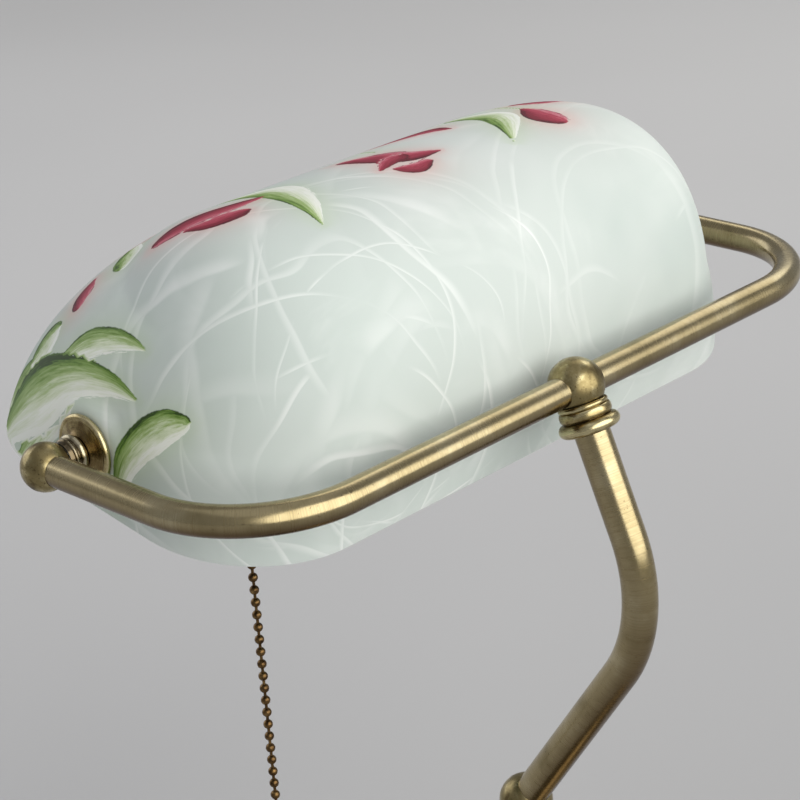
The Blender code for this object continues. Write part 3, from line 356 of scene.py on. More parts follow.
def worn_ridges(tree, spot, detail, swing):
    """How far each place is rubbed bright: from how proud it stands, unevenly, over spots of a size."""
    proud = add(tree, "ShaderNodeAttribute", output="Fac", attribute_name="ridge")
    place = add(tree, "ShaderNodeTexCoord", output="Object")
    wash = {"Vector": place, "Scale": every(spot), "Detail": detail, "Roughness": 0.6}
    wash = add(tree, "ShaderNodeTexNoise", wash)
    uneven = add(tree, "ShaderNodeMath", {0: wash, 1: 0.5}, operation="SUBTRACT")
    uneven = add(tree, "ShaderNodeMath", {0: uneven, 1: swing}, operation="MULTIPLY")
    return add(tree, "ShaderNodeMath", {0: proud, 1: uneven}, operation="ADD"), wash


def turned_brass():
    """Lathe-turned brass with a red-brown antique wash in the grooves, rubbed off the ridges."""
    made, tree, shader = new_material("turned_antique_brass", Metallic=1.0, Roughness=0.26)
    uv = add(tree, "ShaderNodeUVMap", uv_map="Surface")
    # tool marks 0.3 mm wide, drawn coarse so that they show
    marks = add(tree, "ShaderNodeMapping", {"Vector": uv, "Scale": (every(0.3125), 12, 1)})
    rings = add(tree, "ShaderNodeTexNoise", {"Vector": marks, "Scale": 1.0, "Detail": 2})
    level, _ = worn_ridges(tree, 3.85, 4, 0.9)
    stops = ((0.2, "#4b3321"), (0.45, "#7a6845"), (0.62, "#a19166"), (0.85, "#cabd92"))
    base = add(tree, "ShaderNodeValToRGB", {"Fac": level}, stops=stops)
    rough = {"Value": rings, "From Min": 0.3, "From Max": 0.7, "To Min": 0.2, "To Max": 0.34}
    rough = add(tree, "ShaderNodeMapRange", rough, interpolation_type="SMOOTHSTEP")
    bump = add(tree, "ShaderNodeBump", {"Height": rings, "Strength": 0.1, "Distance": 0.05 * mm})
    wire(tree, shader, Base_Color=base, Roughness=rough, Normal=bump)
    return made


def dark_turned_brass():
    """Turned brass blackened and polished: near-black grooves with bright, almost silvery ridges."""
    made, tree, shader = new_material("blackened_polished_brass", Metallic=1.0, Roughness=0.18)
    level, wash = worn_ridges(tree, 2.38, 3, 0.6)
    stops = ((0.15, "#2b231a"), (0.5, "#6d614b"), (0.85, "#b5ab90"))
    base = add(tree, "ShaderNodeValToRGB", {"Fac": level}, stops=stops)
    rough = {"Value": wash, "From Min": 0.3, "From Max": 0.7, "To Min": 0.14, "To Max": 0.28}
    rough = add(tree, "ShaderNodeMapRange", rough, interpolation_type="SMOOTHSTEP")
    wire(tree, shader, Base_Color=base, Roughness=rough)
    return made


LEAF_TONES = ("#34481f", "#50702c", "#789649", None, "#d3ddbf", "#eef2e8")
LEAF_PLACES = (0.0, 0.07, 0.19, 0.38, 0.58, 0.86)
PETAL_TONES = ("#3f0a16", "#7a1a2e", None, "#b5495c", "#cd8590", "#7f1c34")
PETAL_PLACES = (0.0, 0.18, 0.48, 0.74, 0.9, 1)


def alabaster_glass():
    """Frosted alabaster glass: milky, faint green, white smoke inside, hand-painted outside."""
    glass = bpy.context.scene.lamp_glass
    made, tree, shader = new_material(
        "painted_alabaster_glass",
        Roughness=0.68,
        IOR=1.45,
        Subsurface_Weight=0.32,
        Subsurface_Scale=6 * mm,
        Subsurface_Radius=(1.0, 1.1, 1.0),
        Specular_IOR_Level=0.3,
    )
    place = add(tree, "ShaderNodeTexCoord", output="Object")
    # milk in clouds about 110 mm across; towards the +X end the glass is painted darker and greener, a painted
    # shade
    cloud = {"Vector": place, "Scale": every(111), "Detail": 3, "Distortion": 0.6}
    cloud = add(tree, "ShaderNodeTexNoise", cloud)
    across = add(tree, "ShaderNodeSeparateXYZ", {0: place}, "X")
    painted_end_shade = {"Value": across, "From Min": -20 * mm, "From Max": 100 * mm}
    painted_end_shade = add(tree, "ShaderNodeMapRange", painted_end_shade, interpolation_type="SMOOTHSTEP")
    stops = ((0.3, "#c1cbc7"), (0.5, glass.tint), (0.72, "#d6dcd9"))
    base = add(tree, "ShaderNodeValToRGB", {"Fac": cloud}, stops=stops)
    # painted shade: up to half way to a darker grey-green at the +X end
    half = add(tree, "ShaderNodeMath", {0: painted_end_shade, 1: 0.5}, operation="MULTIPLY")
    both = {0: half, MIX_A: base, MIX_B: colour("#bdc8c3")}
    base = add(tree, "ShaderNodeMix", both, MIX_RESULT, data_type="RGBA")
    both = {0: smoke_lines(tree, place, painted_end_shade), MIX_A: base, MIX_B: glass.smoke}
    base = add(tree, "ShaderNodeMix", both, MIX_RESULT, data_type="RGBA")
    # a soft sprayed glow round the painted petals and leaves
    for kind, amount, tone in (("petal", 0.5, "#dba7a2"), ("leaf", 0.35, "#b7c9a3")):
        glow = add(tree, "ShaderNodeAttribute", output="Fac", attribute_name=kind + "_glow")
        share = add(tree, "ShaderNodeMath", {0: glow, 1: amount}, operation="MULTIPLY")
        both = {0: share, MIX_A: base, MIX_B: colour(tone)}
        base = add(tree, "ShaderNodeMix", both, MIX_RESULT, data_type="RGBA")
    # the paint's edge is ragged by a fifth, over about 1.4 mm
    ragged = add(tree, "ShaderNodeTexNoise", {"Vector": place, "Scale": every(1.43), "Detail": 3})
    ragged = add(tree, "ShaderNodeMath", {0: ragged, 1: 0.5}, operation="SUBTRACT")
    ragged = add(tree, "ShaderNodeMath", {0: ragged, 1: 0.22}, operation="MULTIPLY")
    masks = []
    for kind, places, tones, main in (
        ("leaf", LEAF_PLACES, LEAF_TONES, glass.leaf),
        ("petal", PETAL_PLACES, PETAL_TONES, glass.petal),
    ):
        stops = [(spot, tone or main) for spot, tone in zip(places, tones)]
        mask, paint_colour = brushed_paint(tree, kind, stops, ragged)
        masks.append(mask)
        both = {0: mask, MIX_A: base, MIX_B: paint_colour}
        base = add(tree, "ShaderNodeMix", both, MIX_RESULT, data_type="RGBA")
    painted = add(tree, "ShaderNodeMath", {0: masks[0], 1: masks[1]}, operation="MAXIMUM")
    rough = {"Value": painted, "To Min": 0.68, "To Max": 0.6}
    rough = add(tree, "ShaderNodeMapRange", rough, interpolation_type="SMOOTHSTEP")
    # the frosting's grain is drawn 0.45 mm wide, coarser than the real one, so that it shows
    frost = {"Vector": place, "Scale": every(0.4545), "Detail": 2}
    frost = add(tree, "ShaderNodeTexNoise", frost)
    bump = add(tree, "ShaderNodeBump", {"Height": frost, "Strength": 0.05, "Distance": 0.05 * mm})
    wire(tree, shader, Base_Color=base, Roughness=rough, Normal=bump)
    return made


def brushed_paint(tree, kind, stops, ragged):
    """Where one kind of brush stroke covers the glass, and its colour: hairs run along each stroke."""
    inside, side, along = (
        add(tree, "ShaderNodeAttribute", output="Fac", attribute_name=kind + ending)
        for ending in ("", "_side", "_along")
    )
    length = add(tree, "ShaderNodeMath", {0: along, 1: 0.35}, operation="MULTIPLY")
    stroke = add(tree, "ShaderNodeCombineXYZ", {0: side, 1: length})
    # eleven hairs and about three broad bands across a stroke
    hairs = {"Vector": stroke, "Scale": 11, "Detail": 4, "Roughness": 0.7}
    hairs = add(tree, "ShaderNodeTexNoise", hairs)
    broad = add(tree, "ShaderNodeTexNoise", {"Vector": stroke, "Scale": 2.6, "Detail": 2})
    tone = side
    for pattern, amount in ((hairs, 0.9), (broad, 0.5)):
        swing = add(tree, "ShaderNodeMath", {0: pattern, 1: 0.5}, operation="SUBTRACT")
        swing = add(tree, "ShaderNodeMath", {0: swing, 1: amount}, operation="MULTIPLY")
        tone = add(tree, "ShaderNodeMath", {0: tone, 1: swing}, operation="ADD")
    paint_colour = add(tree, "ShaderNodeValToRGB", {"Fac": tone}, stops=stops, easing="LINEAR")
    # the brush runs dry towards its pale side
    pale = {"Value": side, "From Min": 0.55, "From Max": 1.0}
    pale = add(tree, "ShaderNodeMapRange", pale, interpolation_type="SMOOTHSTEP")
    gaps = add(tree, "ShaderNodeMath", {0: hairs, 1: 0.62}, operation="SUBTRACT")
    dry = add(tree, "ShaderNodeMath", {0: pale, 1: gaps}, operation="MULTIPLY")
    dry = add(tree, "ShaderNodeMath", {0: dry, 1: 1.6}, operation="MULTIPLY")
    edge = add(tree, "ShaderNodeMath", {0: inside, 1: ragged}, operation="ADD")
    edge = add(tree, "ShaderNodeMath", {0: edge, 1: dry}, operation="ADD")
    mask = {"Value": edge, "From Min": 0.0, "From Max": 0.14}
    return add(tree, "ShaderNodeMapRange", mask, interpolation_type="SMOOTHSTEP"), paint_colour


def smoke_lines(tree, place, painted_end_shade):
    """White smoke in the glass: thin warped arcs, most of them crossing near the +X end."""
    # the arcs wander by up to 8 mm either way, over about 60 mm
    wander = {"Vector": place, "Scale": every(62.5), "Detail": 2, "Roughness": 0.5}
    wander = add(tree, "ShaderNodeTexNoise", wander, "Color")
    push = add(tree, "ShaderNodeVectorMath", {0: wander, 1: (0.5, 0.5, 0.5)}, operation="SUBTRACT")
    push = add(tree, "ShaderNodeVectorMath", {0: push, "Scale": 16 * mm}, operation="SCALE")
    bent = add(tree, "ShaderNodeVectorMath", {0: place, 1: push}, operation="ADD")
    rng = random.Random(SMOKE_SEED)
    total = add(tree, "ShaderNodeMath", {0: painted_end_shade, 1: 0.0}, operation="MULTIPLY")
    for index in range(SMOKE_ARCS):
        near = index % 3
        across = rng.uniform(40, 100) if near else rng.uniform(-95, 45)
        middle = Vector((across, rng.uniform(-30, 25), rng.uniform(285, 345)))
        radius = rng.uniform(24, 60) if near else rng.uniform(34, 75)
        broad = index % 4 == 0
        width = rng.uniform(3.5, 7.0) if broad else rng.uniform(0.9, 1.9)
        strength = rng.uniform(0.16, 0.28) if broad else rng.uniform(0.3, 0.6)
        strength *= 1.0 if near else 0.6
        reach = {0: bent, 1: middle * mm}
        reach = add(tree, "ShaderNodeVectorMath", reach, "Value", operation="DISTANCE")
        off = add(tree, "ShaderNodeMath", {0: reach, 1: radius * mm}, operation="SUBTRACT")
        # each strand has one crisp edge and one that fades away
        crisp = {"Value": off, "From Min": -0.3 * width * mm, "From Max": 0.0}
        crisp = add(tree, "ShaderNodeMapRange", crisp, interpolation_type="SMOOTHSTEP")
        soft = {"Value": off, "From Max": width * mm, "To Min": strength, "To Max": 0.0}
        soft = add(tree, "ShaderNodeMapRange", soft, interpolation_type="SMOOTHSTEP")
        # and comes and goes along its length, differently for each
        own = {"Vector": place, "Scale": (1 + 0.1 * index, 1.2, 1.1)}
        own = add(tree, "ShaderNodeMapping", own)
        fade = {"Vector": own, "Scale": 13 + index % 7, "Detail": 1, "Roughness": 0.4}
        fade = add(tree, "ShaderNodeTexNoise", fade)
        fade = {"Value": fade, "From Min": 0.4, "From Max": 0.62}
        fade = add(tree, "ShaderNodeMapRange", fade, interpolation_type="SMOOTHSTEP")
        line = add(tree, "ShaderNodeMath", {0: crisp, 1: soft}, operation="MULTIPLY")
        line = add(tree, "ShaderNodeMath", {0: line, 1: fade}, operation="MULTIPLY")
        total = add(tree, "ShaderNodeMath", {0: total, 1: line}, operation="MAXIMUM")
    veil = {"Vector": bent, "Scale": every(41.67), "Detail": 4, "Roughness": 0.55, "Distortion": 0.8}
    veil = add(tree, "ShaderNodeTexNoise", veil)
    veil = {"Value": veil, "From Min": 0.5, "From Max": 0.8, "To Max": 0.3}
    veil = add(tree, "ShaderNodeMapRange", veil, interpolation_type="SMOOTHSTEP")
    return add(tree, "ShaderNodeMath", {0: total, 1: veil}, operation="ADD", use_clamp=True)


def mottled(name, pattern, stops, stretch=None, rough=None, bump=None, **sockets):
    """A finish whose colour follows one noise, and its roughness and bump too where they are given."""
    made, tree, shader = new_material(name, **sockets)
    place = add(tree, "ShaderNodeTexCoord", output="Object")
    if stretch:
        place = add(tree, "ShaderNodeMapping", {"Vector": place, "Scale": stretch})
    spots = add(tree, "ShaderNodeTexNoise", {"Vector": place, **pattern})
    wire(tree, shader, Base_Color=add(tree, "ShaderNodeValToRGB", {"Fac": spots}, stops=stops))
    if rough:
        ends = {"Value": spots, "From Min": 0.3, "From Max": 0.7}
        ends |= {"To Min": rough[0], "To Max": rough[1]}
        ends = add(tree, "ShaderNodeMapRange", ends, interpolation_type="SMOOTHSTEP")
        wire(tree, shader, Roughness=ends)
    if bump:
        raised = {"Height": spots, "Strength": bump[0], "Distance": bump[1] * mm}
        wire(tree, shader, Normal=add(tree, "ShaderNodeBump", raised))
    return made


def chain_bronze():
    """Stamped ball chain in dark bronze plating that wears to brass on each bead's crown."""
    wear = {"Scale": every(1.92), "Detail": 3, "Roughness": 0.6}
    stops = ((0.3, "#3f2e1f"), (0.55, "#6e5636"), (0.75, "#9a7e52"))
    return mottled("bronzed_ball_chain", wear, stops, Metallic=1.0, Roughness=0.32)


def opal_glass():
    """Opal bulb glass: smooth, glossy, milk white all through."""
    haze = {"Scale": every(25), "Detail": 2}
    body = {"Roughness": 0.16, "IOR": 1.5, "Subsurface_Weight": 0.4, "Subsurface_Scale": 8 * mm}
    return mottled("opal_bulb_glass", haze, ((0.3, "#ecebe4"), (0.7, "#f6f5f0")), **body)


def zinc_steel():
    """Turned steel, bright zinc plated: grey, half-gloss, faintly blotched."""
    blotch = {"Scale": every(3.125), "Detail": 4, "Roughness": 0.6}
    stops = ((0.3, "#8f9092"), (0.7, "#c2c3c4"))
    look = {"Metallic": 1.0, "Roughness": 0.3}
    return mottled("zinc_plated_steel", blotch, stops, rough=(0.22, 0.42), **look)


def cast_iron():
    """Sand-cast iron, painted black: coarse grain, dull."""
    grain = {"Scale": every(1.11), "Detail": 5, "Roughness": 0.7}
    stops = ((0.3, "#18181a"), (0.7, "#3a3a3c"))
    look = {"Metallic": 0.6, "Roughness": 0.75}
    return mottled("black_cast_iron", grain, stops, bump=(0.6, 0.3), **look)


def soft_rubber():
    """Moulded black rubber: matt, slightly bloomed."""
    bloom = {"Scale": every(3.33), "Detail": 3}
    stops = ((0.3, "#161617"), (0.7, "#2a2a2b"))
    made = mottled("moulded_black_rubber", bloom, stops, Roughness=0.82)
    tree = made.node_tree
    place = add(tree, "ShaderNodeTexCoord", output="Object")
    grain = add(tree, "ShaderNodeTexNoise", {"Vector": place, "Scale": every(0.4), "Detail": 2})
    bump = add(tree, "ShaderNodeBump", {"Height": grain, "Strength": 0.15, "Distance": 0.05 * mm})
    wire(tree, tree.nodes["Principled BSDF"], Normal=bump)
    return made


def pressed_fibre():
    """Vulcanised fibre sheet: red-brown, dry, with short fibres."""
    fibres = {"Scale": every(1.43), "Detail": 4, "Roughness": 0.7}
    stops = ((0.3, "#4a1d14"), (0.7, "#7c3a2a"))
    look = {"stretch": (1, 1, 6), "bump": (0.2, 0.05), "Roughness": 0.78}
    return mottled("red_vulcanised_fibre", fibres, stops, **look)


def moulded_phenolic():
    """Phenolic moulding: black, hard, half-gloss, with faint flow marks."""
    flow = {"Scale": every(8.33), "Detail": 3, "Distortion": 1.0}
    stops = ((0.3, "#141210"), (0.7, "#262120"))
    return mottled("black_moulded_phenolic", flow, stops, rough=(0.26, 0.4), Roughness=0.32)


def pressed_felt():
    """Green wool felt, pressed and glued: soft, fuzzy, unevenly dyed."""
    fuzz = {"Scale": every(0.714), "Detail": 5, "Roughness": 0.75, "Distortion": 0.8}
    stops = ((0.3, "#16291b"), (0.7, "#2f4a35"))
    look = {"Roughness": 0.95, "Sheen_Weight": 0.4, "Sheen_Roughness": 0.5}
    made = mottled("green_wool_felt", fuzz, stops, bump=(0.8, 0.3), **look)
    tree = made.node_tree
    shader = tree.nodes["Principled BSDF"]
    place = add(tree, "ShaderNodeTexCoord", output="Object")
    tufts = add(tree, "ShaderNodeTexNoise", {"Vector": place, "Scale": every(7.7), "Detail": 3})
    share = add(tree, "ShaderNodeMath", {0: tufts, 1: 0.3}, operation="MULTIPLY")
    fibre = shader.inputs["Base Color"].links[0].from_socket
    both = {0: share, MIX_A: fibre, MIX_B: colour("#3a5640")}
    wire(tree, shader, Base_Color=add(tree, "ShaderNodeMix", both, MIX_RESULT, data_type="RGBA"))
    return made


def sleeved_flex():
    """Clear-sleeved lamp flex over tinned copper: amber, waxy, with the strands showing through."""
    strands = {"Scale": every(1.11), "Detail": 2}
    return mottled("clear_gold_flex", strands, ((0.3, "#9a7a3e"), (0.7, "#cfae6e")), Roughness=0.3)


def studio_floor():
    """Matt painted board, plain pale grey, as a studio sweep is."""
    tone = {"Scale": every(667), "Detail": 2}
    return mottled("pale_studio_board", tone, ((0.2, "#b3b3b4"), (0.8, "#b8b8b9")), Roughness=0.9)


# Each finish by its short name: what makes it, and the slot it stands for in the frame.
MAKERS = {
    "brushed": (brushed_brass, "antique_brass"),
    "cast": (cast_brass, "antique_brass"),
    "turned": (turned_brass, "antique_brass"),
    "dark": (dark_turned_brass, "dark_brass"),
    "chain": (chain_bronze, "dark_brass"),
    "glass": (alabaster_glass, "alabaster_glass"),
    "opal": (opal_glass, "opal_bulb"),
    "zinc": (zinc_steel, "zinc_steel"),
    "iron": (cast_iron, "cast_iron"),
    "rubber": (soft_rubber, "black_rubber"),
    "fibre": (pressed_fibre, "vulcan_fibre"),
    "phenolic": (moulded_phenolic, "black_phenolic"),
    "felt": (pressed_felt, "green_felt"),
    "flex": (sleeved_flex, "clear_flex"),
    "floor": (studio_floor, None),
}
MADE = {}


def finish(name):
    """A finish by its short name, made the first time it is asked for."""
    if name not in MADE:
        MADE[name] = MAKERS[name][0]()
    return MADE[name]


# ---------------------------------------------------------------- mesh helpers


def settle(name, bm, look, body, *nodes, sharp=35.0):
    """Turns a bmesh into a finished piece that rides on a body and stands for CAD nodes."""
    mesh = bpy.data.meshes.new(name)
    bm.to_mesh(mesh)
    bm.free()
    return settle_mesh(name, mesh, look, body, *nodes, sharp=sharp)


def settle_mesh(name, mesh, look, body, *nodes, sharp=35.0):
    """Turns a mesh into a finished piece in the same way."""
    obj = bpy.data.objects.new(name, mesh)
    bpy.context.scene.collection.objects.link(obj)
    mesh.materials.clear()
    mesh.materials.append(finish(look))
    mesh.shade_smooth()
    if sharp:
        mesh.set_sharp_from_angle(angle=math.radians(sharp))
    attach(obj, body)
    if nodes:
        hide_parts(*nodes)
    return obj


def profile(*points, start=0.0):
    """Outline points (radius, place on the axis) given in millimetres, the place counted from start."""
    return [(r * mm, start + s * mm) for r, s in points]


def arc(centre_r, centre_s, radius, start, end, steps):
    """Points (r, s) along an arc; angles in degrees, 0 outwards and 90 along the axis."""
    points = []
    for i in range(steps + 1):
        angle = math.radians(start + (end - start) * i / steps)
        points.append((centre_r + radius * math.cos(angle), centre_s + radius * math.sin(angle)))
    return points


def softened(outline, radius, steps=3):
    """Rounds the sharp corners of a closed outline."""
    rounded = []
    for i, point in enumerate(outline):
        corner = Vector(point)
        back = Vector(outline[i - 1]) - corner
        ahead = Vector(outline[(i + 1) % len(outline)]) - corner
        if corner.x < 1e-6 or back.length < 1e-6 or ahead.length < 1e-6:
            rounded.append(tuple(corner))
            continue
        turn = math.pi - back.angle(ahead)
        if turn < 0.4:
            rounded.append(tuple(corner))
            continue
        cut = min(radius * math.tan(turn / 2), 0.4 * back.length, 0.4 * ahead.length)
        start = corner + back.normalized() * cut
        end = corner + ahead.normalized() * cut
        for k in range(steps + 1):
            t = k / steps
            rounded.append(tuple((1 - t) ** 2 * start + 2 * t * (1 - t) * corner + t * t * end))
    return rounded


def frame_of(location, axis):
    """The matrix that stands a piece made along +Z at location, pointing along axis."""
    return Matrix.Translation(location) @ axis.to_track_quat("Z", "Y").to_matrix().to_4x4()


def lathe(outline, steps, location, axis):
    """A turned piece as a bmesh, with its own surface map and how proud each ring stands."""
    count = len(outline)
    bm = bmesh.new()
    uv = bm.loops.layers.uv.new("Surface")
    ridge = bm.verts.layers.float.new("ridge")
    lengths = [0.0]
    for i in range(count):
        a, b = Vector(outline[i]), Vector(outline[(i + 1) % count])
        lengths.append(lengths[-1] + (b - a).length)
    radii = [point[0] for point in outline]
    proud = []
    for i in range(count):
        near = [
            radii[j]
            for j in range(count)
            if math.dist(outline[i], outline[j]) < 3.0 * mm
        ]
        low, high = min(near), max(near)
        proud.append(0.5 if high - low < 0.1 * mm else 0.15 + 0.7 * (radii[i] - low) / (high - low))
    matrix = frame_of(location, axis)
    rings = []
    for i, (r, s) in enumerate(outline):
        if r < 1e-7:
            vert = bm.verts.new(matrix @ Vector((0, 0, s)))
            vert[ridge] = proud[i]
            rings.append([vert] * steps)
            continue
        row = []
        for k in range(steps):
            angle = 2 * math.pi * k / steps
            vert = bm.verts.new(matrix @ Vector((r * math.cos(angle), r * math.sin(angle), s)))
            vert[ridge] = proud[i]
            row.append(vert)
        rings.append(row)
    for i in range(count):
        a, b = rings[i], rings[(i + 1) % count]
        if a[0] is a[1] and b[0] is b[1]:
            continue
        across = max(radii[i], radii[(i + 1) % count]) * 2 * math.pi / steps
        for k in range(steps):
            corners = [
                (a[k], lengths[i], k),
                (a[(k + 1) % steps], lengths[i], k + 1),
                (b[(k + 1) % steps], lengths[i + 1], k + 1),
                (b[k], lengths[i + 1], k),
            ]
            if a[0] is a[1]:
                corners.pop(0)
            elif b[0] is b[1]:
                corners.pop(2)
            face = bm.faces.new([corner[0] for corner in corners])
            for loop, corner in zip(face.loops, corners):
                loop[uv].uv = (corner[1], corner[2] * across)
    bmesh.ops.recalc_face_normals(bm, faces=bm.faces)
    return bm


def turned_piece(name, outline, look, body, location, axis, *nodes, steps=64, soft=0.25 * mm):
    """A lathe-turned piece with its sharp corners softened."""
    bm = lathe(softened(outline, soft) if soft else outline, steps, location, axis)
    return settle(name, bm, look, body, *nodes)


def filleted(corners, radii, steps):
    """A path through corners with each inner corner rounded to its radius."""
    points = [corners[0]]
    for before, corner, after, radius in zip(corners, corners[1:], corners[2:], radii):
        back = (before - corner).normalized()
        ahead = (after - corner).normalized()
        half = back.angle(ahead) / 2
        middle = corner + (back + ahead).normalized() * radius / math.sin(half)
        start = (corner + back * radius / math.tan(half) - middle).normalized()
        end = (corner + ahead * radius / math.tan(half) - middle).normalized()
        for i in range(steps + 1):
            points.append(middle + start.slerp(end, i / steps) * radius)
    points.append(corners[-1])
    return points


def filled_path(path, step):
    """The same path with long straight runs cut into pieces."""
    points = [path[0]]
    for a, b in zip(path, path[1:]):
        count = max(1, round((b - a).length / step))
        points += [a.lerp(b, i / count) for i in range(1, count + 1)]
    return points


def tube(path, normal, outer, inner, sides):
    """A hollow tube along a flat path, as a bmesh, its map running along and round it."""
    bm = bmesh.new()
    uv = bm.loops.layers.uv.new("Surface")
    bm.verts.layers.float.new("ridge")
    loops = {outer: [], inner: []}
    lengths = [0.0]
    for i, point in enumerate(path):
        if i:
            lengths.append(lengths[-1] + (point - path[i - 1]).length)
        ahead = path[min(i + 1, len(path) - 1)] - point
        behind = point - path[max(i - 1, 0)]
        tangent = (ahead.normalized() + behind.normalized()).normalized()
        side = tangent.cross(normal).normalized()
        for radius, rows in loops.items():
            row = []
            for k in range(sides):
                angle = 2 * math.pi * k / sides
                outwards = math.cos(angle) * normal + math.sin(angle) * side
                row.append(bm.verts.new(point + radius * outwards))
            rows.append(row)
    bands = []
    for rows in loops.values():
        bands += [(a, b, lengths[i], lengths[i + 1]) for i, (a, b) in enumerate(zip(rows, rows[1:]))]
    bands += [(loops[outer][end], loops[inner][end], lengths[end], lengths[end]) for end in (0, -1)]
    for a, b, low, high in bands:
        for k in range(sides):
            face = bm.faces.new((a[k], a[(k + 1) % sides], b[(k + 1) % sides], b[k]))
            around = outer * 2 * math.pi / sides
            for loop, (u, v) in zip(face.loops, ((low, k), (low, k + 1), (high, k + 1), (high, k))):
                loop[uv].uv = (u, v * around)
    bmesh.ops.recalc_face_normals(bm, faces=bm.faces)
    return bm


# ---------------------------------------------------------------- shade


PAD_SETBACK = 2.8 * mm
PAD_RADIUS = 11.2 * mm
PAD_BLEND = 5.5 * mm
ABOVE_RIM = 16.0 * mm
BEFORE_RIDGE = 22.0 * mm


# How full the shade's curves are, from rim to ridge: 2 would be a quarter ellipse, less is slacker.
END_FULLNESS = 2.65
REAR_FULLNESS = 2.35
FRONT_FULLNESS = 1.7
# Up from the rim the ends draw in by this share of the height, and the long sides lean out.
END_DRAW = 0.14
SIDE_LEAN = 0.12
END_DROP = 44.5 * mm  # how far each end rounds in from the rim to the ridge
RIM_CORNER = 40.5 * mm
CORNER_GAIN = 23.5 * mm
CORNER_STEPS = 48


def shade_half(glass, u, inset):
    """Half length, rear, front and corner radius of the level section at share u of the height."""
    z = u * (glass.height - inset)
    rounding = max(1 - u**END_FULLNESS, 0) ** (1 / END_FULLNESS)
    half_length = glass.length / 2 - inset - END_DRAW * z - END_DROP * (1 - rounding)
    lean = SIDE_LEAN * z
    rear = (glass.rear - inset + lean) * max(1 - u**REAR_FULLNESS, 0) ** (1 / REAR_FULLNESS)
    front = (glass.front - inset + lean) * max(1 - u**FRONT_FULLNESS, 0) ** (1 / FRONT_FULLNESS)
    corner = RIM_CORNER - inset + CORNER_GAIN * u
    return half_length, rear, front, corner


def shade_section(glass, u, inset, columns):
    """One closed level section, evenly spaced, in the shade's own frame with its pivot at the origin."""
    half_length, rear, front, corner = shade_half(glass, u, inset)
    half_turn = []
    for side, width in ((-1, front), (1, rear)):
        rounded = max(min(corner, width, half_length), 1e-9)
        turn = []
        for i in range(CORNER_STEPS + 1):
            angle = math.pi / 2 * i / CORNER_STEPS
            x = half_length - rounded + rounded * math.cos(angle)
            turn.append((x, side * (width - rounded + rounded * math.sin(angle))))
        half_turn.append(turn)
    outline = np.array([(0, -front), *reversed(half_turn[0]), *half_turn[1], (0, rear)])
    travelled = np.concatenate([[0], np.cumsum(np.linalg.norm(np.diff(outline, axis=0), axis=1))])
    even = np.linspace(0, travelled[-1], columns + 1)
    x = np.interp(even, travelled, outline[:, 0])
    y = np.interp(even, travelled, outline[:, 1])
    x = np.concatenate([x, -x[-2:0:-1]])
    y = np.concatenate([y, y[-2:0:-1]]) + BEFORE_RIDGE
    z = np.full(len(x), u * (glass.height - inset) - ABOVE_RIM)
    # the flat moulded pad round each pivot hole
    pad = glass.length / 2 - PAD_SETBACK - inset
    share = np.clip((np.hypot(y, z) - PAD_RADIUS) / PAD_BLEND, 0, 1)
    share = share * share * (3 - 2 * share)
    near_end = np.abs(x) > pad - 4 * PAD_SETBACK
    x = np.where(near_end, np.sign(x) * (pad + (np.abs(x) - pad) * share), x)
    return np.stack([x, y, z], axis=1)


# Brush strokes in the shade's own frame, from the pivot, in millimetres: (x, y, z, half width).
# The last value of each is 1 or -1, for the side of the stroke that is the dark one.
LEAVES = (
    (((108, -50, -12, 5), (111, -41, 0, 8.7), (108, -39, 8, 2)), 1),
    (((107, -39, 9, 2.6), (105, -36, 15, 8), (102, -34, 22, 1)), 1),
    (((120, -29, -15, 2.6), (119, -22, -5, 6.2), (118, -14, 4, 3.9), (116, -7, 11, 0.6)), 1),
    (
        ((111, -20, 19, 2.2), (109, -12, 26, 5.3), (108, -3, 31, 4.5), (108, 6, 34, 2.9), (108, 15, 35, 0.3)),
        1,
    ),
    (
        ((115, -44, -14, 6.0), (115, -28, 4, 12.0), (114, -13, 16, 7.4), (113, 3, 21, 4.4), (113, 18, 21, 0.3)),
        1,
    ),
    (
        ((119, 14, -8, 3.0), (117, 17, 3, 5.6), (115, 23, 12, 6.6), (113, 29, 18, 5.6), (112, 34, 21, 3.2)),
        1,
    ),
    (((85, -24, 39, 1.5), (79, -28, 39, 6.0), (67, -38, 35, 2)), 1),
    (((46, -22, 50, 3), (41, -9, 56, 6.5), (42, 1, 60, 7.0), (47, 15, 63, 4.6), (54, 29, 64, 0.7)), -1),
    (((-50, -16, 53, 2.9), (-52, -1, 60, 6.0), (-47, 10, 63, 5.4), (-35, 24, 64, 0.9)), -1),
)
PETALS = (
    (((96, -31, 28, 3.5), (91, -34, 29, 4.5), (84, -37, 30, 1)), 1),
    (((80, -12, 51, 4.0), (74, -10, 55, 7.4), (65, -7, 58, 6.8), (54, -5, 58, 4.1), (46, -4, 59, 0.8)), 1),
    (((77, -4, 57, 1.8), (73, 2, 60, 4.7), (67, 3, 61, 5.3), (61, 3, 61, 2.5)), -1),
    (((6, -10, 56, 3.1), (1, 1, 60, 7.1), (-3, 8, 62, 6.1), (-13, 13, 63, 0.8)), -1),
    (((13, 12, 63, 0.8), (6, 8, 62, 3.2), (0, 6, 62, 4.6)), -1),
    (((8, 15, 63, 2.0), (4, 18, 64, 4.5), (-3, 17, 64, 2.0)), -1),
    (((-18, -22, 50, 2.3), (-32, -14, 54, 5.6), (-35, -4, 59, 1.5)), 1),
    (((-62, 4, 61, 1.2), (-59, 14, 63, 5.8), (-59, 20, 64, 5.0), (-60, 24, 64, 1.5)), -1),
    (((-67, -4, 58, 2.2), (-73, 4, 61, 4.0), (-79, 7, 60, 1.4)), 1),
)
STEMS = (
    ((-9, -18, 52, 1.0), (-6, -9, 57, 0.8)),
    ((-63, -9, 58, 0.9), (-61, 6, 62, 0.9)),
)
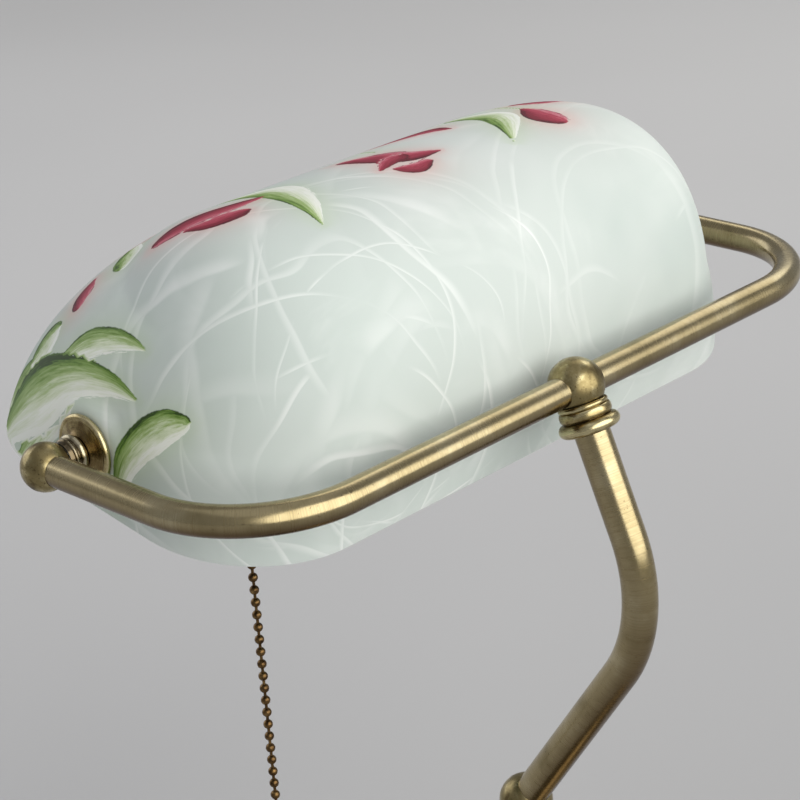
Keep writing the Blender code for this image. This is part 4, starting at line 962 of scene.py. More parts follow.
# Blossoms on the front, where the petals above start: (x, y) of the heart and the size of a petal.
BLOSSOMS = ((50, -34, 25), (-6, -31, 27), (-66, -26, 24), (24, -54, 18), (-38, -51, 18))


def front_spray(points):
    """The blossoms, leaves and stems on the front of the shade, laid onto its surface points."""

    def laid(x, y, width):
        best = np.argmin(np.hypot(points[:, 0] - x * mm, points[:, 1] - y * mm))
        return (*(points[best] / mm), width)

    petals, leaves, hearts, stems = [], [], [], []
    for number, (x, y, size) in enumerate(BLOSSOMS):
        for k in range(5):
            angle = math.radians(180 + 18 + 36 * k + 7 * math.sin(3.1 * number + k))
            reach = size * (0.85 + 0.15 * math.sin(2.3 * k + number))
            direction = Vector((math.cos(angle), math.sin(angle) * 0.8))
            curl = Vector((-direction.y, direction.x)) * 2.2 * math.sin(k + number)
            stroke = []
            for share, width in ((0.12, 1.6), (0.4, 0.2 * size), (0.75, 0.24 * size), (1.0, 0.05 * size)):
                spot = Vector((x, y)) + direction * reach * share + curl * share * share
                stroke.append(laid(spot.x, spot.y, width))
            petals.append((tuple(stroke), 1 if k % 2 else -1))
        hearts.append((laid(x, y, 2.6), laid(x + 1.5, y - 1.5, 2.2)))
    # leaves on the front: where each starts, which way it points in degrees, and its length
    for x, y, turn, length in (
        (30, -36, 205, 30),
        (84, -56, 250, 24),
        (8, -54, 240, 28),
        (-24, -40, 300, 30),
        (-86, -30, 280, 30),
        (-50, -42, 250, 26),
        (52, -58, 300, 22),
        (-14, -60, 200, 24),
    ):
        direction = Vector((math.cos(math.radians(turn)), math.sin(math.radians(turn)) * 0.8))
        bend = Vector((-direction.y, direction.x)) * 0.18 * length
        stroke = []
        for share, width in ((0.0, 1.2), (0.3, 0.15 * length), (0.65, 0.14 * length), (1.0, 0.6)):
            spot = Vector((x, y)) + direction * length * share + bend * 4 * share * (1 - share)
            stroke.append(laid(spot.x, spot.y, width))
        leaves.append((tuple(stroke), 1))
    for a, b in ((0, 3), (1, 3), (1, 4), (2, 4)):
        start, end = Vector(BLOSSOMS[a][:2]), Vector(BLOSSOMS[b][:2])
        sag = Vector((0, -5))
        spots = [start.lerp(end, t) + sag * 4 * t * (1 - t) for t in (0, 0.25, 0.5, 0.75, 1)]
        stems.append(tuple(laid(spot.x, spot.y, 0.8) for spot in spots))
    return petals, leaves, hearts, stems


def smooth_stroke(stroke, count=28):
    """A stroke's points joined by one smooth curve, in metres, with its half widths."""
    given = np.array(stroke) * mm
    padded = np.vstack([2 * given[0] - given[1], given, 2 * given[-1] - given[-2]])
    result = []
    for t in np.linspace(0, len(given) - 1 - 1e-9, count):
        i = int(t)
        f = t - i
        p0, p1, p2, p3 = padded[i : i + 4]
        square = (2 * p0 - 5 * p1 + 4 * p2 - p3) * f * f
        cube = (3 * p1 - p0 - 3 * p2 + p3) * f**3
        result.append(0.5 * (2 * p1 + (p2 - p0) * f + square + cube))
    return np.array(result)


def paint(points, normals, outside, strokes):
    """How far inside its nearest stroke each point lies, where across and along it, and the glow."""
    inside = np.full(len(points), -1.0)
    across = np.zeros(len(points))
    along = np.zeros(len(points))
    glow = np.zeros(len(points))
    for number, (stroke, dark) in enumerate(strokes):
        line = smooth_stroke(stroke)
        centre, reach = line[:, :3].mean(axis=0), 0.03 + np.ptp(line[:, :3], axis=0).max()
        close = np.where(outside & (np.linalg.norm(points - centre, axis=1) < reach))[0]
        if not len(close):
            continue
        best = np.full(len(close), 1e9)
        level = np.full(len(close), -1.0)
        cross = np.zeros(len(close))
        share = np.zeros(len(close))
        for i in range(len(line) - 1):
            a, b = line[i, :3], line[i + 1, :3]
            run = b - a
            t = np.clip(((points[close] - a) @ run) / (run @ run), 0, 1)
            offset = points[close] - a - t[:, None] * run
            offset -= (offset * normals[close]).sum(axis=1)[:, None] * normals[close]
            distance = np.linalg.norm(offset, axis=1)
            width = np.maximum(line[i, 3] + (line[i + 1, 3] - line[i, 3]) * t, 0.15 * mm)
            take = distance / width < best
            best = np.where(take, distance / width, best)
            level = np.where(take, (width - distance) / (3 * mm), level)
            sign = np.sign(np.einsum("ij,ij->i", np.cross(normals[close], run), offset)) * dark
            cross = np.where(take, sign * distance / width, cross)
            share = np.where(take, (i + t) / (len(line) - 1), share)
        glow[close] = np.maximum(glow[close], np.exp(np.minimum(level, 0) * 3 * mm / (5 * mm)))
        over = (level > inside[close]) | (level > 0)
        spots = close[over]
        inside[spots] = np.maximum(level[over], np.where(level[over] > 0, level[over], inside[spots]))
        across[spots] = 0.5 - 0.5 * cross[over]
        along[spots] = share[over] + 1.7 * number
    return inside, across, along, glow


class DESKLAMP_OT_shade(bpy.types.Operator):
    """Builds the painted glass shade."""

    bl_idname = "desklamp.shade"
    bl_label = "Glass shade"

    def execute(self, context):
        glass = context.scene.lamp_glass
        bm = bmesh.new()
        walls = []
        for inset, count in ((0.0, glass.rows), (glass.wall, 26)):
            shares = np.sin(np.linspace(0, math.pi / 2, count))
            rows = [shade_section(glass, u, inset, glass.columns) for u in shares]
            walls.append([[bm.verts.new(point) for point in row] for row in rows])
        bands = [(a, b) for rows in walls for a, b in zip(rows, rows[1:])]
        bands.append((walls[0][0], walls[1][0]))
        for a, b in bands:
            size = len(a)
            for k in range(size):
                bm.faces.new((a[k], a[(k + 1) % size], b[(k + 1) % size], b[k]))
        bmesh.ops.remove_doubles(bm, verts=bm.verts, dist=0.02 * mm)
        bmesh.ops.dissolve_degenerate(bm, edges=bm.edges, dist=0.01 * mm)
        bmesh.ops.recalc_face_normals(bm, faces=bm.faces)
        shell = bpy.data.meshes.new("glass_blank")
        bm.to_mesh(shell)
        bm.free()
        mesh = drilled(shell, THREAD_RADIUS + 0.7 * mm, glass.length)
        self.decorate(mesh)
        mesh.transform(Matrix.Translation(PIVOT) @ Matrix.Rotation(SHADE_TILT, 4, "X"))
        settle_mesh("painted_glass_shade", mesh, "glass", "shade", "glass_shade", sharp=50)
        return {"FINISHED"}

    def decorate(self, mesh):
        """Writes the painting to the mesh as attributes."""
        count = len(mesh.vertices)
        points = np.empty(count * 3)
        mesh.vertices.foreach_get("co", points)
        points = points.reshape(-1, 3)
        normals = np.empty(count * 3, np.float32)
        mesh.vertex_normals.foreach_get("vector", normals)
        normals = normals.reshape(-1, 3)
        # the glass's inner side faces a line that runs along its middle
        core = np.tile((0.0, 5 * mm, -4 * mm), (count, 1))
        core[:, 0] = np.clip(points[:, 0], -60 * mm, 60 * mm)
        outside = np.einsum("ij,ij->i", normals, points - core) > 0
        petals, leaves, hearts, stems = front_spray(points[outside])
        stems = [(stem, 1) for stem in (*STEMS, *stems)] + [(heart, -1) for heart in hearts]
        for kind, strokes in (("leaf", [*stems, *LEAVES, *leaves]), ("petal", [*PETALS, *petals])):
            inside, across, along, glow = paint(points, normals, outside, strokes)
            written = (("", inside), ("_side", across), ("_along", along), ("_glow", glow))
            for ending, values in written:
                layer = mesh.attributes.new(kind + ending, "FLOAT", "POINT")
                layer.data.foreach_set("value", values.astype(np.float32))


def drilled(mesh, radius, length):
    """The shell with the two pivot holes cut through its ends."""
    shell = bpy.data.objects.new("glass_blank", mesh)
    drill_mesh = bpy.data.meshes.new("pivot_drill")
    bm = bmesh.new()
    turn = Matrix.Rotation(math.pi / 2, 4, "Y")
    bmesh.ops.create_cone(
        bm, cap_ends=True, segments=32, radius1=radius, radius2=radius, depth=2 * length, matrix=turn
    )
    bm.to_mesh(drill_mesh)
    bm.free()
    drill = bpy.data.objects.new("pivot_drill", drill_mesh)
    for obj in (shell, drill):
        bpy.context.scene.collection.objects.link(obj)
    cut = shell.modifiers.new("pivot_holes", "BOOLEAN")
    cut.object = drill
    cut.solver = "EXACT"
    evaluated = shell.evaluated_get(bpy.context.evaluated_depsgraph_get())
    result = bpy.data.meshes.new_from_object(evaluated)
    for obj in (shell, drill):
        bpy.data.objects.remove(obj)
    return result


# ---------------------------------------------------------------- yoke, arm and their fittings


def ball_outline(radius, steps):
    """Half a circle, from pole to pole."""
    points = []
    for i in range(steps + 1):
        angle = math.pi * i / steps - math.pi / 2
        points.append((max(radius * math.cos(angle), 0.0), radius * math.sin(angle)))
    points[0] = (0.0, -radius)
    points[-1] = (0.0, radius)
    return points


def ball_piece(name, radius, location, body, axis, *nodes):
    """A cast ball with a faint parting line round it."""
    outline = []
    for r, s in ball_outline(radius * 0.995, steps=44):
        lift = 0.05 * mm * math.exp(-((s / (0.25 * mm)) ** 2))
        outline.append((r + lift if r > 0 else 0.0, s))
    bm = lathe(outline, 64, location, axis)
    return settle(name, bm, "cast", body, *nodes)


class DESKLAMP_OT_yoke(bpy.types.Operator):
    """Builds the bent yoke tube, its end balls, ringed necks and rosettes."""

    bl_idname = "desklamp.yoke"
    bl_label = "Yoke"

    def execute(self, context):
        metal = context.scene.lamp_metal
        seat = Y * 4.9 * mm
        near = Vector((BALL_X, PIVOT.y, PIVOT.z))
        far = Vector((-BALL_X, PIVOT.y, PIVOT.z))
        back = Y * (CENTRE_BALL.y - PIVOT.y)
        corners = [near + seat, near + back, far + back, far + seat]
        path = filled_path(filleted(corners, [metal.rod_bend, metal.rod_bend], 28), 6 * mm)
        rod = tube(path, Z, ROD / 2, ROD / 2 - mm, metal.sides)
        settle("yoke_rod", rod, "brushed", "arm", "yoke_tube")
        for side, place, inward in (("near", near, -X), ("far", far, X)):
            ball_piece(f"yoke_ball_{side}", END_BALL_RADIUS, place, "arm", Y, f"end_ball_{side}")
            self.neck(side, place, inward)
            self.rosette(side, place, inward)
        return {"FINISHED"}

    def neck(self, side, place, inward):
        """The blackened rings between a ball and its rosette."""
        hole = THREAD_RADIUS + FIT
        radius = END_BALL_RADIUS
        seat = radius + GAP
        outline = [(hole, math.sqrt(seat**2 - hole**2)), (5.0 * mm, math.sqrt(seat**2 - 25 * mm * mm))]
        outline += arc(5.0 * mm, radius + 0.45 * mm, 0.8 * mm, -70, 70, 10)
        outline += arc(5.1 * mm, radius + 2.7 * mm, 1.3 * mm, -75, 75, 14)
        outline += [(hole, radius + 4.2 * mm)]
        nodes = f"neck_rings_{side}"
        turned_piece(f"ringed_neck_{side}", outline, "dark", "arm", place, inward, nodes, soft=0)

    def rosette(self, side, place, inward):
        """The dished disc with a rolled rim that bears on the glass."""
        hole = THREAD_RADIUS + FIT
        start = END_BALL_RADIUS + 4.2 * mm + GAP
        face = start + 3.75 * mm
        roll = 1.15 * mm
        rim = 11.25 * mm - roll
        dish = ((5.4, 0), (6.0, 0.45), (6.8, 0.85), (7.8, 1.15), (8.9, 1.4))
        outline = [(hole, start), *profile(*dish, start=start)]
        outline += arc(rim, face - roll, roll, -120, 90, 22)
        outline += [(9.3 * mm, face - 0.1 * mm), (8.9 * mm, start + 2.3 * mm), (hole, start + 2.3 * mm)]
        name, node = f"rolled_rosette_{side}", f"rosette_{side}"
        turned_piece(name, outline, "turned", "arm", place, inward, node, soft=0, steps=80)


def collar_outline(ball_radius, bore, counterbore):
    """Two thin rings and a round flange under a ball, hollowed on top to seat it."""
    seat = ball_radius + GAP
    outline = []
    for i in range(9):
        r = bore + (7.4 * mm - bore) * i / 8
        outline.append((r, math.sqrt(seat**2 - r**2)))
    for radius, start, end in ((7.9 * mm, 5.5 * mm, 6.9 * mm), (8.3 * mm, 7.1 * mm, 10.0 * mm)):
        half = (end - start) / 2
        bulge = 0.55 * mm
        for i in range(13):
            angle = math.pi * (i / 12 - 0.5)
            r = radius - bulge + bulge * math.cos(angle)
            outline.append((r, (start + end) / 2 + half * math.sin(angle)))
    roll = 2.1 * mm
    middle = 12.5 * mm
    outline += [(7.3 * mm, 10.2 * mm)]
    outline += arc(9.7 * mm - roll, middle, roll, -75, 90, 18)
    if counterbore:
        outline += [(counterbore, 14.6 * mm), (counterbore, seat + 0.4 * mm), (bore, seat + 0.4 * mm)]
    else:
        outline += [(bore, 14.6 * mm)]
    return outline


class DESKLAMP_OT_arm(bpy.types.Operator):
    """Builds the cranked arm with a ball and a ringed collar at each end."""

    bl_idname = "desklamp.arm"
    bl_label = "Arm"

    def execute(self, context):
        metal = context.scene.lamp_metal
        up = Vector((0, -math.sin(metal.upper_lean), math.cos(metal.upper_lean)))
        rise = Vector((0, math.sin(metal.lower_lean), math.cos(metal.lower_lean)))
        # where the two straight runs meet
        span = CENTRE_BALL - LOWER_BALL
        across = rise.y * up.z - rise.z * up.y
        corner = LOWER_BALL + rise * ((span.y * up.z - span.z * up.y) / across)
        down = -up
        top = CENTRE_BALL + down * (CENTRE_BALL_RADIUS + mm)
        bottom = LOWER_BALL + rise * 4.9 * mm
        path = filled_path(filleted([top, corner, bottom], [metal.arm_bend], 32), 6 * mm)
        bent = tube(path, X, ARM_RADIUS, ARM_RADIUS - 1.2 * mm, metal.sides)
        settle("cranked_arm", bent, "brushed", "arm", "arm_tube")
        ball_piece("yoke_centre_ball", CENTRE_BALL_RADIUS, CENTRE_BALL, "arm", X, "centre_ball")
        ball_piece("arm_foot_ball", LOWER_BALL_RADIUS, LOWER_BALL, "arm", X, "lower_ball")
        outline = collar_outline(CENTRE_BALL_RADIUS, THREAD_RADIUS + GAP, ARM_RADIUS + GAP)
        place = ("arm", CENTRE_BALL, down, "centre_collar")
        turned_piece("upper_ringed_collar", outline, "turned", *place, soft=0.12 * mm)
        outline = collar_outline(LOWER_BALL_RADIUS, THREAD_RADIUS + FIT, None)
        place = ("arm", LOWER_BALL, -Z, "lower_collar")
        turned_piece("lower_ringed_collar", outline, "turned", *place, soft=0.12 * mm)
        return {"FINISHED"}


# ---------------------------------------------------------------- column and base


class DESKLAMP_OT_base(bpy.types.Operator):
    """Builds the spun base, the turned foot, the column and its cap."""

    bl_idname = "desklamp.base"
    bl_label = "Base and column"

    def execute(self, context):
        floor = FLOOR_OF_SHELL
        top = BASE_TOP
        wall = 1.5 * mm
        band = BASE_RADIUS - 2.0 * mm
        shoulder = floor + 14.0 * mm
        outline = arc(BASE_RADIUS - 1.35 * mm, floor + 1.3 * mm, 1.28 * mm, -90, 80, 14)
        outline += [(band, floor + 2.9 * mm), (band, shoulder - 1.4 * mm)]
        outline += arc(band - 1.3 * mm, shoulder - 1.3 * mm, 1.3 * mm, 0, 80, 6)
        outline += [(band - 3.4 * mm, shoulder + 0.4 * mm), (band - 4.2 * mm, shoulder + 2.4 * mm)]
        sweep = []
        for i in range(41):
            share = i / 40
            r = BASE_RADIUS - 7.0 * mm + (12.5 * mm - BASE_RADIUS + 7.0 * mm) * share
            rise = (top - floor) - 14.0 * mm - 3.0 * mm
            sweep.append((r, floor + 17.0 * mm + rise * (0.35 * share + 0.65 * share**3)))
        outline += sweep + [(5.4 * mm, top), (5.4 * mm, top - wall)]
        outline += [(r, z - wall) for r, z in reversed(sweep[::2])]
        outline += [(band - 4.9 * mm, shoulder - 1.2 * mm), (band - wall, shoulder - 2.6 * mm)]
        outline += [(band - wall, floor)]
        place = ("base", Vector(), Z, "base_shell")
        turned_piece("spun_base", outline, "brushed", *place, steps=160, soft=0.3 * mm)

        foot_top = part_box("column_foot")[1].z
        hole = 5.35 * mm
        tube_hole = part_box("column_tube")[1].x + GAP
        outline = [(hole, top + GAP)] + arc(14.6 * mm, top + GAP + 1.6 * mm, 1.6 * mm, -90, 80, 16)
        outline += profile((13.4, 3.7), (12.2, 4.4), (11.3, 5.5), (10.7, 7.0), (10.5, 8.8), start=top)
        outline += arc(10.2 * mm, top + 11.2 * mm, 1.5 * mm, -75, 75, 12)
        outline += [(9.8 * mm, top + 13.2 * mm), (9.1 * mm, foot_top), (tube_hole, foot_top)]
        outline += [(tube_hole, foot_top - 6.3 * mm), (hole, foot_top - 6.3 * mm)]
        turned_piece("turned_foot", outline, "turned", "base", Vector(), Z, "column_foot", steps=80)

        low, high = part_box("column_tube")[0].z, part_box("column_tube")[1].z
        column = filled_path([Z * low, Z * high], 5 * mm)
        settle("column", tube(column, X, 8.0 * mm, 6.8 * mm, 64), "brushed", "base", "column_tube")

        hole = THREAD_RADIUS + FIT
        outline = [(hole, CAP_TOP), (9.3 * mm, CAP_TOP)]
        outline += arc(8.9 * mm, CAP_TOP - 2.0 * mm, 1.5 * mm, 75, -75, 14)
        outline += profile((8.6, -4.0), start=CAP_TOP)
        outline += arc(8.4 * mm, CAP_TOP - 5.2 * mm, 0.8 * mm, 70, -70, 10)
        skirt = ((8.6, -6.6), (8.9, -8.2), (8.9, -10.0), (6.5, -10.0), (6.5, -17.0))
        outline += [*profile(*skirt, start=CAP_TOP), (hole, CAP_TOP - 17.0 * mm)]
        place = ("base", Vector(), Z, "column_cap")
        turned_piece("turned_column_cap", outline, "turned", *place, steps=80)
        return {"FINISHED"}


# ---------------------------------------------------------------- lampholder and bulb


class DESKLAMP_OT_lampholder(bpy.types.Operator):
    """Builds the lampholder's cap and shell, the chain's guide and the opal bulb."""

    bl_idname = "desklamp.lampholder"
    bl_label = "Lampholder and bulb"

    def execute(self, context):
        hole = THREAD_RADIUS + FIT
        radius = 15.1 * mm
        length = 62.0 * mm
        rim = radius + GAP
        bell = ((6.6, 0), (6.6, 3.2), (7.4, 3.8), (9.6, 4.8), (12.2, 6.9), (14.2, 9.8), (15.4, 12.2))
        outline = [(hole, 0), *profile(*bell)]
        outline += arc(rim + 0.1 * mm, 13.6 * mm, 0.65 * mm, -80, 80, 8) + [(rim + 0.6 * mm, 16.0 * mm)]
        outline += [(rim, 16.0 * mm), (rim, 13.4 * mm)]
        outline += [*profile((14.0, 11.3), (11.6, 7.9), (8.0, 5.2)), (hole, 4.6 * mm)]
        place = ("arm", SOCKET_TOP, -X, "socket_cap")
        turned_piece("holder_cap", outline, "turned", *place, soft=0.2 * mm)
        bead = length - 3.0 * mm
        outline = [(radius - 0.6 * mm, 16.5 * mm), (radius, 16.5 * mm)]
        for ring in (22, 24, 26):
            outline += arc(radius, ring * mm, 0.35 * mm, -80, 80, 6)
        outline += [(radius, bead - 2.2 * mm)] + arc(radius, bead - mm, 0.6 * mm, -80, 80, 8)
        outline += [(radius, length), (radius - 0.6 * mm, length)]
        place = ("arm", SOCKET_TOP, -X, "socket_shell")
        turned_piece("holder_shell", outline, "brushed", *place, soft=0.1 * mm)
        mouth = Vector((CHAIN_MOUTH.x, PIVOT.y, PIVOT.z))
        depth = PIVOT.z - CHAIN_MOUTH.z
        bore = 2.15 * mm
        outline = [(bore, 9.6 * mm), *profile((2.8, 9.6), (2.8, 16.0))]
        outline += profile((2.9, -2.8), (3.4, -1.6), start=depth)
        outline += arc(3.6 * mm, depth - 0.55 * mm, 0.55 * mm, -60, 90, 8)
        outline += profile((3.1, -0.3), (2.5, -1.2), start=depth) + [(bore, depth - 2.4 * mm)]
        place = ("arm", mouth, -Z, "chain_guide")
        turned_piece("bell_mouth_guide", outline, "turned", *place, soft=0, steps=48)

        low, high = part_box("bulb_globe")
        neck = 12.2 * mm
        start = SOCKET_TOP.x - high.x
        tip = SOCKET_TOP.x - low.x
        globe = 22.4 * mm
        wall = 0.9 * mm
        shoulder = tip - globe - globe * math.sin(math.radians(48))
        outside = [(neck, start), (neck, start + 13.4 * mm), (12.6 * mm, shoulder - 4.0 * mm)]
        outside += arc(0, tip - globe, globe, -48, 90, 40)
        outside[-1] = (0.0, tip)
        inside = arc(0, tip - globe, globe - wall, 90, -48, 30)
        inside[0] = (0.0, tip - wall)
        inside += [(neck - wall, start + 13.6 * mm), (neck - wall, start)]
        place = ("arm", SOCKET_TOP, -X, "bulb_globe")
        turned_piece("opal_globe", outside + inside, "opal", *place, soft=0)
        return {"FINISHED"}


# ---------------------------------------------------------------- pull chain


def nodes_tree(name, *sockets):
    """An empty geometry nodes tree with the given (name, kind) inputs, and its input node's outputs."""
    tree = bpy.data.node_groups.new(name, "GeometryNodeTree")
    tree.interface.new_socket("Geometry", in_out="INPUT", socket_type="NodeSocketGeometry")
    for label, kind in sockets:
        tree.interface.new_socket(label, in_out="INPUT", socket_type="NodeSocket" + kind)
    tree.interface.new_socket("Geometry", in_out="OUTPUT", socket_type="NodeSocketGeometry")
    return tree, tree.nodes.new("NodeGroupInput").outputs


def swept_wire(tree, line, diameter, sides):
    """A round wire along a curve."""
    radius = add(tree, "ShaderNodeMath", {0: diameter, 1: 0.5}, operation="MULTIPLY")
    ring = {"Resolution": sides, "Radius": radius}
    ring = add(tree, "GeometryNodeCurvePrimitiveCircle", ring)
    swept = {"Curve": line, "Profile Curve": ring, "Fill Caps": True}
    return add(tree, "GeometryNodeCurveToMesh", swept)


def close_tree(tree, geometry, metal):
    """Ends a tree: instances made real, shaded smooth, material set."""
    solid = add(tree, "GeometryNodeRealizeInstances", {0: geometry})
    smooth = add(tree, "GeometryNodeSetShadeSmooth", {0: solid, 2: True})
    coated = add(tree, "GeometryNodeSetMaterial", {"Geometry": smooth, "Material": metal})
    add(tree, "NodeGroupOutput", {0: coated})


def chain_tree():
    """Geometry nodes for a ball chain: beads along a line, on a thin link wire."""
    sizes = [(name, "Float") for name in ("Bead Diameter", "Pitch", "Link Diameter")]
    tree, given = nodes_tree("ball_chain", *sizes, ("Metal", "Material"))
    line = add(tree, "GeometryNodeMeshToCurve", {"Mesh": given["Geometry"]})
    spaced = {"Curve": line, "Length": given["Pitch"]}
    spots = add(tree, "GeometryNodeCurveToPoints", spaced, "Points", mode="LENGTH")
    radius = add(tree, "ShaderNodeMath", {0: given["Bead Diameter"], 1: 0.5}, operation="MULTIPLY")
    bead = {"Segments": 20, "Rings": 14, "Radius": radius}
    bead = add(tree, "GeometryNodeMeshUVSphere", bead, "Mesh")
    beads = add(tree, "GeometryNodeInstanceOnPoints", {"Points": spots, "Instance": bead})
    links = swept_wire(tree, line, given["Link Diameter"], 10)
    close_tree(tree, add(tree, "GeometryNodeJoinGeometry", {0: [links, beads]}), given["Metal"])
    return tree


def spring_tree():
    """Geometry nodes for a coil spring, standing on its first coil."""
    sizes = [(name, "Float") for name in ("Turns", "Height", "Coil Radius", "Wire Diameter")]
    tree, given = nodes_tree("coil_spring", *sizes, ("Metal", "Material"))
    coil = {"Resolution": 28, "Rotations": given["Turns"], "Height": given["Height"]}
    coil |= {"Start Radius": given["Coil Radius"], "End Radius": given["Coil Radius"]}
    line = add(tree, "GeometryNodeCurveSpiral", coil)
    close_tree(tree, swept_wire(tree, line, given["Wire Diameter"], 10), given["Metal"])
    return tree


def grown(name, tree, points, values):
    """The plain mesh that a geometry nodes tree makes from a line of points."""
    mesh = bpy.data.meshes.new(name)
    mesh.from_pydata(points, [(i, i + 1) for i in range(len(points) - 1)], [])
    obj = bpy.data.objects.new(name, mesh)
    bpy.context.scene.collection.objects.link(obj)
    modifier = obj.modifiers.new(name, "NODES")
    modifier.node_group = tree
    for item in tree.interface.items_tree:
        if item.in_out == "INPUT" and item.name in values:
            modifier[item.identifier] = values[item.name]
    evaluated = obj.evaluated_get(bpy.context.evaluated_depsgraph_get())
    result = bpy.data.meshes.new_from_object(evaluated)
    bpy.data.objects.remove(obj)
    return result


class DESKLAMP_OT_chain(bpy.types.Operator):
    """Builds the ball chain and its turned pull."""

    bl_idname = "desklamp.chain"
    bl_label = "Pull chain"

    def execute(self, context):
        chain = context.scene.lamp_chain
        low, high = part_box("pull_chain")
        top = high.z - chain.bead / 2
        count = round((top - (low.z + chain.bead / 2)) / chain.pitch) + 1
        x, y = CHAIN_MOUTH.x, PIVOT.y
        ends = [(x, y, top + 0.0001 * mm), (x, y, top - (count - 1) * chain.pitch - 0.0001 * mm)]
        values = {
            "Bead Diameter": chain.bead,
            "Pitch": chain.pitch,
            "Link Diameter": chain.link,
            "Metal": finish("chain"),
        }
        mesh = grown("ball_chain", chain_tree(), ends, values)
        settle_mesh("ball_chain", mesh, "chain", "chain", "pull_chain", sharp=60)

        self.spring()
        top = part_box("pull_knob")[1].z
        outline = profile(
            *((0, 0), (1.5, 0), (2.0, -0.6), (2.1, -2.0), (1.7, -2.6), (1.7, -3.1), (2.6, -3.6)),
            *((3.9, -4.9), (4.6, -6.6), (4.9, -8.0), (4.75, -8.3), (4.75, -8.7), (5.05, -9.0)),
            *((5.45, -12.2), (5.3, -13.2), (4.4, -14.5), (3.0, -15.2), (1.6, -15.5), (1.2, -15.75)),
            (0, -15.8),
        )
        place = ("chain", Vector((x, y, top)), Z, "pull_knob")
        turned_piece("turned_pull", outline, "turned", *place, soft=0.2 * mm, steps=48)
        return {"FINISHED"}

    def spring(self):
        """The return spring in the lampholder, built at rest; the real one shortens towards its top as the chain
        is pulled.
        """
        low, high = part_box("pull_spring")
        wire = SPRING_WIRE
        height = high.z - low.z - wire
        values = {
            "Turns": SPRING_TURNS,
            "Height": height,
            "Coil Radius": (high.x - low.x - wire) / 2,
            "Wire Diameter": wire,
            "Metal": finish("zinc"),
        }
        mesh = grown("return_spring", spring_tree(), [(0, 0, 0)], values)
        middle = (low + high) / 2
        mesh.transform(Matrix.Translation((middle.x, middle.y, low.z + wire / 2)))
        spring = settle_mesh("return_spring", mesh, "zinc", "pull", "pull_spring", sharp=0)
        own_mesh(spring)


# ---------------------------------------------------------------- what stays from the frame


class DESKLAMP_OT_inner_parts(bpy.types.Operator):
    """Gives the frame's own small and inner pieces their finishes."""

    bl_idname = "desklamp.inner_parts"
    bl_label = "Inner parts"

    looks = {
        "zinc_steel": "zinc",
        "cast_iron": "iron",
        "black_rubber": "rubber",
        "vulcan_fibre": "fibre",
        "black_phenolic": "phenolic",
        "green_felt": "felt",
        "clear_flex": "flex",
        "dark_brass": "chain",
        "antique_brass": "cast",
        "opal_bulb": "opal",
        "alabaster_glass": "glass",
    }

    def execute(self, context):
        for part in frame["record"]["subparts"]:
            node = frame["nodes"][part["node"]]
            look = finish(self.looks[part["material_slot"]])
            for slot in node.material_slots:
                slot.material = look
        return {"FINISHED"}


# ---------------------------------------------------------------- stage

CAMERA_FROM_PIVOT = Vector((0.49654, 0.51977, 0.27608))
CAMERA_RIGHT = Vector((-0.69417377, 0.71663642, -0.06749083))
CAMERA_UP = Vector((-0.32268433, -0.2260091, 0.91912715))
CAMERA_BACK = Vector((0.64342645, 0.65981219, 0.38813693))
WINDOW_SIDE = Vector((-0.06, 0.96, 0.26))
WINDOW_WIDTH = math.radians(84)
TOP_LIGHT = Vector((0.1, 0.2, 1.5))
FRONT_LIGHT = Vector((0.4, -1.7, 0.55))
BACKDROP_LIGHT = Vector((-1.25, -0.45, 1.25))
BACKDROP_SPOT = Vector((-1.2, -0.5, 0))


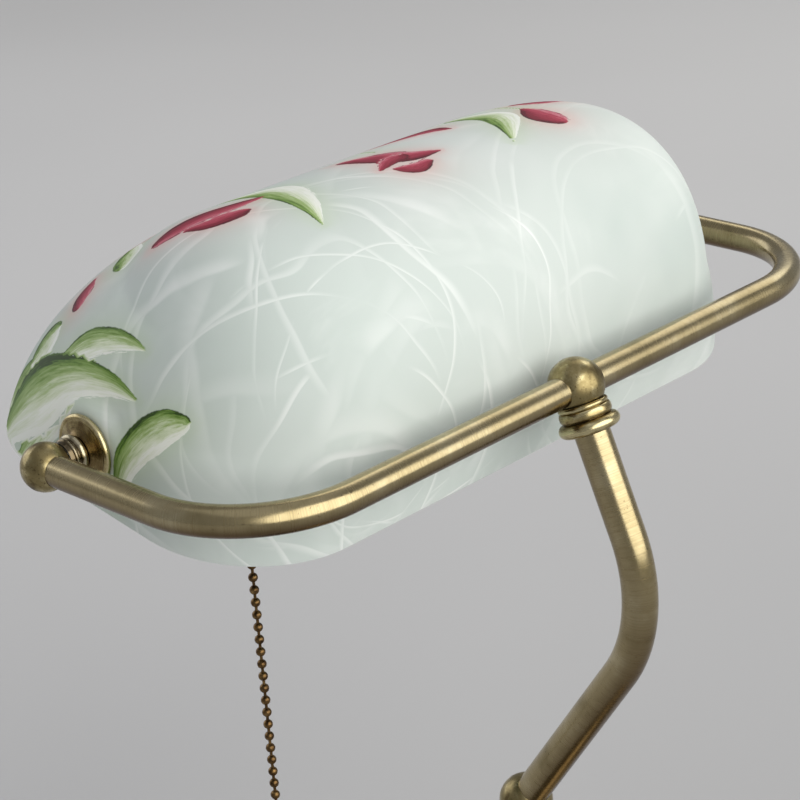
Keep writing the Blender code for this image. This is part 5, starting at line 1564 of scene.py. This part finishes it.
class DESKLAMP_OT_stage(bpy.types.Operator):
    """Sets the floor, the soft studio light and the camera."""

    bl_idname = "desklamp.stage"
    bl_label = "Stage"

    def execute(self, context):
        stage = context.scene.lamp_stage
        self.floor()
        self.window(stage.key)
        self.light("top_softbox", PIVOT + TOP_LIGHT, 1.6, 1.6, stage.fill, "#f4f7ff")
        place = BACKDROP_LIGHT
        self.light("backdrop_softbox", place, 1.2, 1.2, stage.backdrop, "#fffdf8", BACKDROP_SPOT)
        self.light("front_softbox", PIVOT + FRONT_LIGHT, 1.5, 1.2, stage.front, "#f6f8ff")
        self.world(context)
        data = bpy.data.cameras.new("main_camera")
        data.lens = stage.lens
        data.sensor_width = 36
        data.clip_end = 20
        camera = bpy.data.objects.new("main_camera", data)
        turn = Matrix((CAMERA_RIGHT, CAMERA_UP, CAMERA_BACK)).transposed().to_4x4()
        camera.matrix_world = Matrix.Translation(PIVOT + CAMERA_FROM_PIVOT) @ turn
        context.scene.collection.objects.link(camera)
        context.scene.camera = camera
        return {"FINISHED"}

    def floor(self):
        """A wide board under the lamp."""
        mesh = bpy.data.meshes.new("studio_floor")
        size = 6.0
        corners = [(-size, -size, 0), (size, -size, 0), (size, size, 0), (-size, size, 0)]
        mesh.from_pydata(corners, [], [(0, 1, 2, 3)])
        mesh.materials.append(finish("floor"))
        floor = bpy.data.objects.new("studio_floor", mesh)
        bpy.context.scene.collection.objects.link(floor)

    def window(self, strength):
        """A broad, low light from the rear, as a tall window far off gives."""
        data = bpy.data.lights.new("window_light", "SUN")
        data.energy = strength
        data.angle = WINDOW_WIDTH
        data.color = colour("#fffdf8")[:3]
        lamp = bpy.data.objects.new("window_light", data)
        lamp.rotation_euler = WINDOW_SIDE.to_track_quat("Z", "Y").to_euler()
        bpy.context.scene.collection.objects.link(lamp)

    def light(self, name, place, width, height, power, tint, target=PIVOT):
        """A rectangular softbox, turned to its target."""
        data = bpy.data.lights.new(name, "AREA")
        data.shape = "RECTANGLE"
        data.size = width
        data.size_y = height
        data.energy = power
        data.color = colour(tint)[:3]
        lamp = bpy.data.objects.new(name, data)
        lamp.location = place
        lamp.rotation_euler = (target - place).to_track_quat("-Z", "Y").to_euler()
        bpy.context.scene.collection.objects.link(lamp)

    def world(self, context):
        """Faint even light from all round."""
        world = bpy.data.worlds.new("soft_studio")
        world.use_nodes = True
        sky = world.node_tree.nodes["Background"]
        sky.inputs["Color"].default_value = colour("#ecedf0")
        sky.inputs["Strength"].default_value = 0.33
        context.scene.world = world
        context.scene.view_settings.view_transform = "Standard"


# ---------------------------------------------------------------- panel and running


class DESKLAMP_PT_panel(bpy.types.Panel):
    """Lists the lamp's pieces and settings."""

    bl_idname = "DESKLAMP_PT_panel"
    bl_label = "Desk lamp"
    bl_space_type = "VIEW_3D"
    bl_region_type = "UI"
    bl_category = "Desk lamp"

    def draw(self, context):
        for operator in OPERATORS:
            self.layout.operator(operator.bl_idname)
        for name in SETTINGS:
            group = getattr(context.scene, name)
            for prop in group.bl_rna.properties:
                if prop.identifier not in ("rna_type", "name"):
                    self.layout.prop(group, prop.identifier)


OPERATORS = (
    DESKLAMP_OT_inner_parts,
    DESKLAMP_OT_shade,
    DESKLAMP_OT_yoke,
    DESKLAMP_OT_arm,
    DESKLAMP_OT_base,
    DESKLAMP_OT_lampholder,
    DESKLAMP_OT_chain,
    DESKLAMP_OT_stage,
)
SETTINGS = {
    "lamp_glass": LampGlassSettings,
    "lamp_metal": LampMetalSettings,
    "lamp_chain": LampChainSettings,
    "lamp_stage": LampStageSettings,
}


def register():
    for group in SETTINGS.values():
        bpy.utils.register_class(group)
    for name, group in SETTINGS.items():
        setattr(bpy.types.Scene, name, PointerProperty(type=group))
    for operator in OPERATORS:
        bpy.utils.register_class(operator)
    bpy.utils.register_class(DESKLAMP_PT_panel)


def unregister():
    bpy.utils.unregister_class(DESKLAMP_PT_panel)
    for operator in reversed(OPERATORS):
        bpy.utils.unregister_class(operator)
    for name, group in SETTINGS.items():
        delattr(bpy.types.Scene, name)
        bpy.utils.unregister_class(group)


def main():
    """Builds the lamp."""
    register()
    for operator in OPERATORS:
        group, action = operator.bl_idname.split(".")
        getattr(getattr(bpy.ops, group), action)()
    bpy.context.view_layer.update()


if __name__ == "__main__":
    main()
